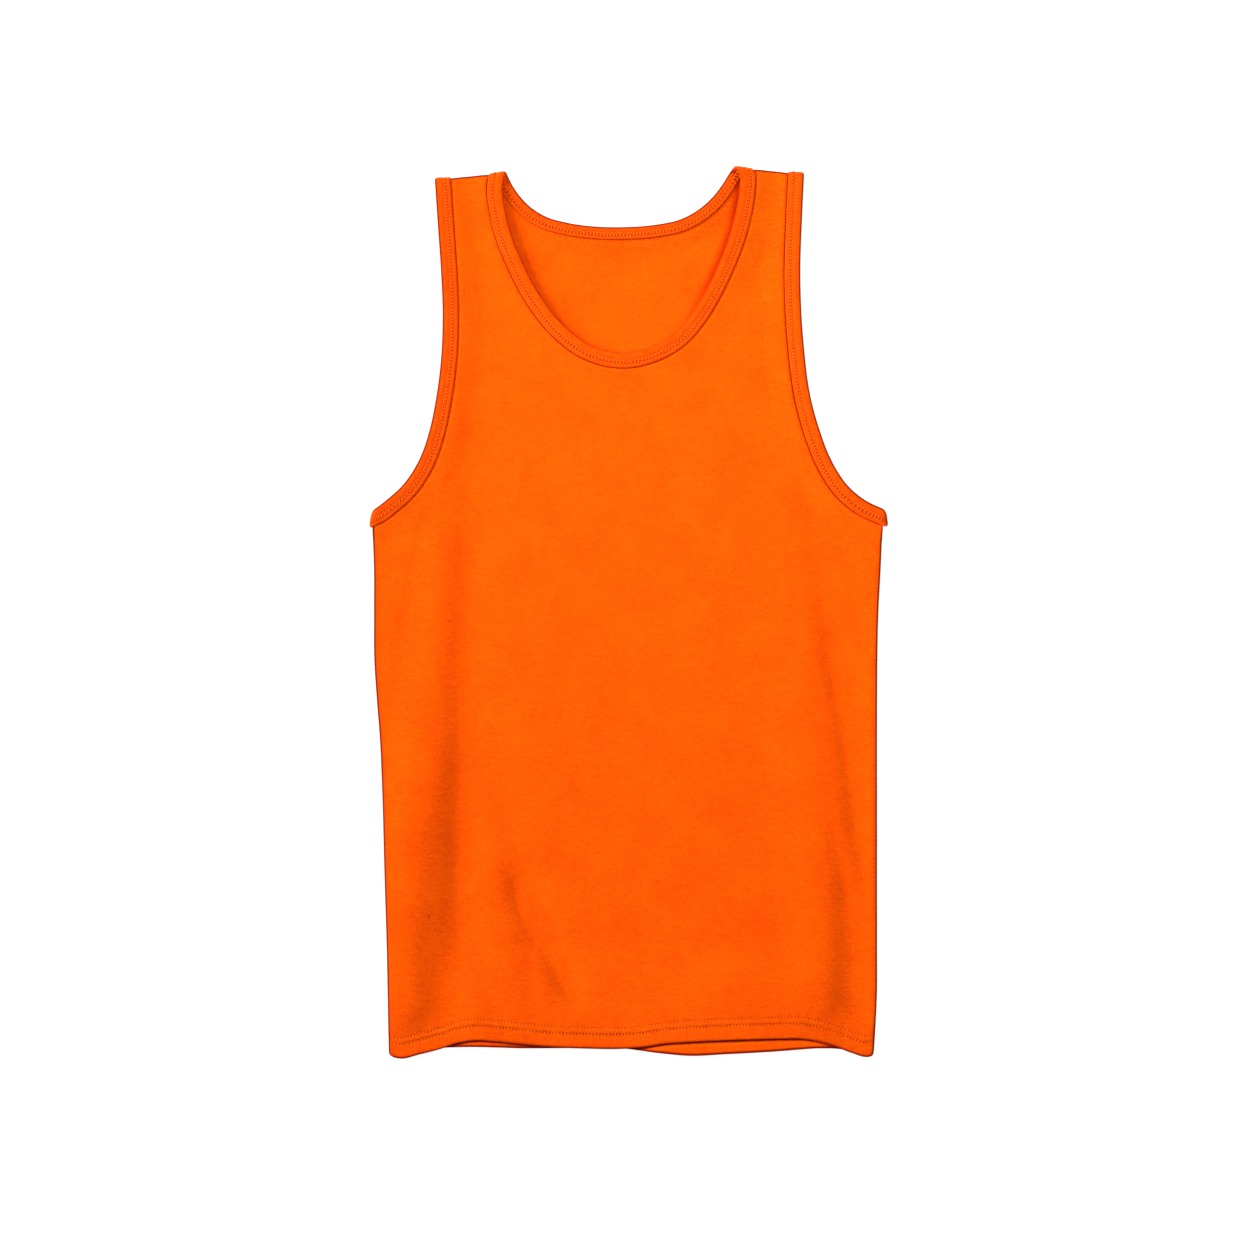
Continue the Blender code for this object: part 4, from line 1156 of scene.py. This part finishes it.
# %% A binding
def binding(name, strip, node):
    """The strip as one mesh, with a section at every station along its edge."""
    section = binding_section()
    count, wide = round(strip["length"] / STATION), len(section)
    s = np.linspace(0, strip["length"], count, endpoint=not strip["closed"])[:, None]
    inward, off, depth = (column[None, :] for column in section.T)
    detail, stray = strip_lift(strip, s, inward, off)
    # Painted shade of the section's lips and of the folded edge
    painted_shade_and_knot = depth + rim_painted_shade(strip, s, inward)
    for leaf, is_outer in ((off > 1, True), (off < -1, False)):
        lift, deep = sewn_leaf(s, inward, is_outer)
        detail, painted_shade_and_knot = detail + lift * leaf, painted_shade_and_knot + deep * leaf
    along = s if strip["closed"] else rounded_end(s, inward, strip["length"])
    points = on_strip(strip, along, inward + stray, off + detail)
    if strip is NECK:
        painted_shade_and_knot = painted_shade_and_knot + inner_leaf_shade(strip, s, points) * (off < 0)
    width = np.concatenate([[0], np.cumsum(np.hypot(*np.diff(section[:, :2], axis=0).T))])
    places = np.stack(np.broadcast_arrays(along, width[None, :]), axis=-1)
    faces = []
    for i in range(count if strip["closed"] else count - 1):
        here, ahead = i * wide, (i + 1) % count * wide
        faces.extend((here + k + 1, here + k, ahead + k, ahead + k + 1) for k in range(wide - 1))
    if strip is RIGHT:
        faces = [face[::-1] for face in faces]
    piece = make_piece(name, points.reshape(-1, 3), faces, places.reshape(-1, 2),
                       painted_shade_and_knot.ravel(), strip_jersey)
    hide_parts(node)
    return piece


NECK = binding_strip(NECK_LOOP, 1, True, neck_level, 10, NECK_JOINS)
LEFT = binding_strip(armhole_path(LEFT_EDGE), 1, False, armhole_level, 18)
RIGHT = binding_strip(armhole_path(RIGHT_EDGE), -1, False, armhole_level, 19)
neck_strip = binding("neck_strip", NECK, "neck_binding")
left_strip = binding("left_armhole_strip", LEFT, "armhole_binding_left")
right_strip = binding("right_armhole_strip", RIGHT, "armhole_binding_right")

# %% [markdown]
# ## Stitches
# Thread is what holds a shirt together, and it is what the eye looks for at a seam. Each
# stitch is a short tube that dips into the cloth at both ends. The ladder of a binding has a
# rung from row to row at each pair of needle holes, and short stitches along both rows. The
# hem shows two plain rows of stitches. All the stitches of one seam are one mesh.

# %% Helper that makes threads
def threads(name, paths, thickness=THREAD):
    """One round tube for each path; paths has the shape stitches, points, 3."""
    paths = np.asarray(paths, float)
    stitches, length = paths.shape[:2]
    sides = 6
    along = np.gradient(paths, axis=1)
    along /= np.linalg.norm(along, axis=2, keepdims=True)
    upright = np.where(np.abs(along[..., 2:3]) > 0.9, (1.0, 0.0, 0.0), (0.0, 0.0, 1.0))
    level = np.cross(along, upright)
    level /= np.linalg.norm(level, axis=2, keepdims=True)
    top = np.cross(level, along)
    turn = np.arange(sides) / sides * 2 * math.pi
    radius = thickness / 2 * np.interp(np.linspace(0, 1, length), (0, 0.12, 0.88, 1),
                                       (0.45, 1, 1, 0.45))
    ring = (np.cos(turn)[:, None] * level[:, :, None, :]
            + np.sin(turn)[:, None] * top[:, :, None, :])
    points = paths[:, :, None, :] + ring * radius[None, :, None, None]
    way = np.concatenate([[0], np.cumsum(np.linalg.norm(np.diff(paths[0], axis=0), axis=1))])
    places = np.stack(np.broadcast_arrays(
        way[None, :, None] + 7.3 * np.arange(stitches)[:, None, None],
        (thickness * math.pi * np.arange(sides) / sides)[None, None, :]), axis=-1)
    faces = []
    for stitch in range(stitches):
        for step in range(length - 1):
            first = (stitch * length + step) * sides
            for k in range(sides):
                ahead = (k + 1) % sides
                faces.append((first + k, first + ahead, first + sides + ahead, first + sides + k))
    return make_piece(name, points.reshape(-1, 3), faces, places.reshape(-1, 2),
                      np.zeros(points[..., 0].size), thread_material)


# %% The bindings' ladders
rng = np.random.default_rng(7)


def ladder_paths(strip, outer):
    """Rungs across and stitches along both needle rows of one leaf."""
    rows = LADDER if outer else INNER_LADDER
    sign = 1 if outer else -1
    count = math.floor(strip["length"] / RUNG)
    first = RUNG * (2 if not strip["closed"] else 0)
    s = first + RUNG * np.arange(count - (4 if not strip["closed"] else 0))
    s = s[:, None] + rng.normal(0, 0.12, (len(s), 1))
    step = np.linspace(0, 1, 5)[None, :]
    arch = np.sin(step * math.pi)
    lean = rng.normal(0, 0.15, (len(s), 1))
    rung_in = rows[0] + (rows[1] - rows[0]) * step + 0 * s
    rungs = on_strip(strip, s + lean * (step - 0.5), rung_in,
                     sign * (np.abs(leaf_height(rung_in, outer)) - 0.18 + 0.30 * arch))
    runs = []
    for row in rows:
        run_in = row + 0 * s + rng.normal(0, 0.08, (len(s), 1)) * arch
        runs.append(on_strip(strip, s + 0.25 + (RUNG - 0.5) * step, run_in,
                             sign * (np.abs(leaf_height(run_in, outer)) - 0.26 + 0.26 * arch)))
    return np.vstack([rungs] + runs)


def ladder(name, strip):
    return threads(name, np.vstack([ladder_paths(strip, True), ladder_paths(strip, False)]))


neck_ladder = ladder("neck_stitches", NECK)
left_ladder = ladder("left_armhole_stitches", LEFT)
right_ladder = ladder("right_armhole_stitches", RIGHT)


# %% The hem's two rows
def hem_stitches(name, back):
    """Two rows of plain stitches on the outside of a hem."""
    paths = []
    for row, above in enumerate(HEM_ROWS):
        x = np.arange(side_x(-390, False) + 4, side_x(-390, True) - 6, HEM_STITCH)
        x = (np.round(x / HEM_STITCH) - 0.5 * row) * HEM_STITCH
        x = x[:, None] + 0.3 + (HEM_STITCH - 0.6) * np.linspace(0, 1, 6)[None, :]
        y = hem_y(x, back) + above + rng.normal(0, 0.07, (len(x), 1))
        arch = np.sin(np.linspace(0, math.pi, 6))[None, :]
        height = back_height(x, y) - BACK_SKIN if back else front_height(x, y) + SKIN
        z = height + (-1 if back else 1) * (-0.16 + 0.30 * arch)
        paths.append(np.stack([x, y, z], axis=-1))
    return threads(name, np.vstack(paths))


front_hem = hem_stitches("front_hem_stitches", False)
back_hem = hem_stitches("back_hem_stitches", True)

# %% Two loose thread ends, inside the neck by the left strap and on the front
step = np.linspace(0, 1, 5)
rise = 0.4 * np.sin(step * math.pi)
lint_x, lint_y = -179.8 + 1.4 * step, -107.6 + 0.8 * step
loose = threads("loose_thread_ends", [
    np.column_stack([-109.2 + 1.5 * step, 382.6 - 2.4 * step, 5.6 - 0.8 * step + rise]),
    np.column_stack([lint_x, lint_y, front_height(lint_x, lint_y) + SKIN + 0.1 + rise]),
], 0.7)

# %% [markdown]
# ## The cloth as cut
# The panels are cut wider than they show only by what the seams hide, so the sizes here are
# those of the cloth that shows, with its turned-up hem.

# %% [markdown]
# ## Floor, light and camera
# The shirt was photographed from straight above on a white surface, so bright that it has no
# tone of its own. The floor here is matt and glows, so that it stays white where the light
# falls off. A low light rakes over the cloth from the left and shows the folds, a soft
# lamp over the shoulders makes the top of the shirt brighter than its hem, and the white
# surroundings fill in the rest. The camera looks straight down from far away, because the
# photograph shows no perspective.

# %% The floor
floor_mesh = bpy.data.meshes.new("floor")
floor_mesh.from_pydata([(-6, -6, 0), (6, -6, 0), (6, 6, 0), (-6, 6, 0)], [], [(0, 1, 2, 3)])
floor = bpy.data.objects.new("floor", floor_mesh)
floor.location.z = -0.2 * MM
bpy.context.scene.collection.objects.link(floor)

floor_material, floor_tree = new_material("paper_white_matt")
surface(floor_tree, {"Base Color": dye("#808080"), "Roughness": 1.0, "Specular IOR Level": 0.0,
                     "Emission Color": dye("#FFFFFF"), "Emission Strength": 0.94})
floor_mesh.materials.append(floor_material)

# %% The lights
world = bpy.data.worlds.new("white studio")
world.use_nodes = True
background = world.node_tree.nodes["Background"]
background.inputs["Color"].default_value = dye("#FFFFFF")
background.inputs["Strength"].default_value = 0.198
bpy.context.scene.world = world

# A low, broad light from the left and a little from above draws the folds
LIGHT_HEIGHT = math.radians(18.5)      # above the table
LIGHT_STRENGTH = 0.90          # what it throws on a level surface
raking_light = bpy.data.lights.new("raking light from the left", "SUN")
raking_light.angle = math.radians(34)
raking_light.energy = LIGHT_STRENGTH / math.sin(LIGHT_HEIGHT) * math.pi
raking = bpy.data.objects.new("raking light from the left", raking_light)
travels = Vector((*(way * math.cos(LIGHT_HEIGHT) for way in LIGHT_WAY),
                  -math.sin(LIGHT_HEIGHT)))
raking.rotation_euler = travels.to_track_quat("-Z", "Y").to_euler()
bpy.context.scene.collection.objects.link(raking)


def lamp(name, place, aim, size, power):
    light = bpy.data.lights.new(name, "AREA")
    light.shape, light.size, light.energy = "DISK", size, power
    holder = bpy.data.objects.new(name, light)
    holder.location = place
    holder.rotation_euler = (Vector(aim) - Vector(place)).to_track_quat("-Z", "Y").to_euler()
    bpy.context.scene.collection.objects.link(holder)
    return holder


top_lamp = lamp("soft lamp over the shoulders", (0, 0.30, 0.65), (0, 0.30, 0), 0.35, 3.65)
top_lamp.visible_camera = False

# %% The camera
PHOTO_WIDTH = 1.1286           # metres that the photograph covers at the table
PHOTO_CENTRE = (-1.5, -13.144)   # and where its middle lies, in millimetres
CAMERA_HEIGHT = 4.0
camera_data = bpy.data.cameras.new("camera above")
camera = bpy.data.objects.new("camera above", camera_data)
camera.location = (PHOTO_CENTRE[0] * MM, PHOTO_CENTRE[1] * MM, CAMERA_HEIGHT)
camera_data.sensor_width = 36.0
camera_data.lens = camera_data.sensor_width * CAMERA_HEIGHT / PHOTO_WIDTH
camera_data.clip_end = 50.0
bpy.context.scene.collection.objects.link(camera)
bpy.context.scene.camera = camera
bpy.context.scene.view_settings.view_transform = "Standard"
bpy.context.scene.view_settings.look = "None"
print(f"lens: {camera_data.lens:.1f} mm")
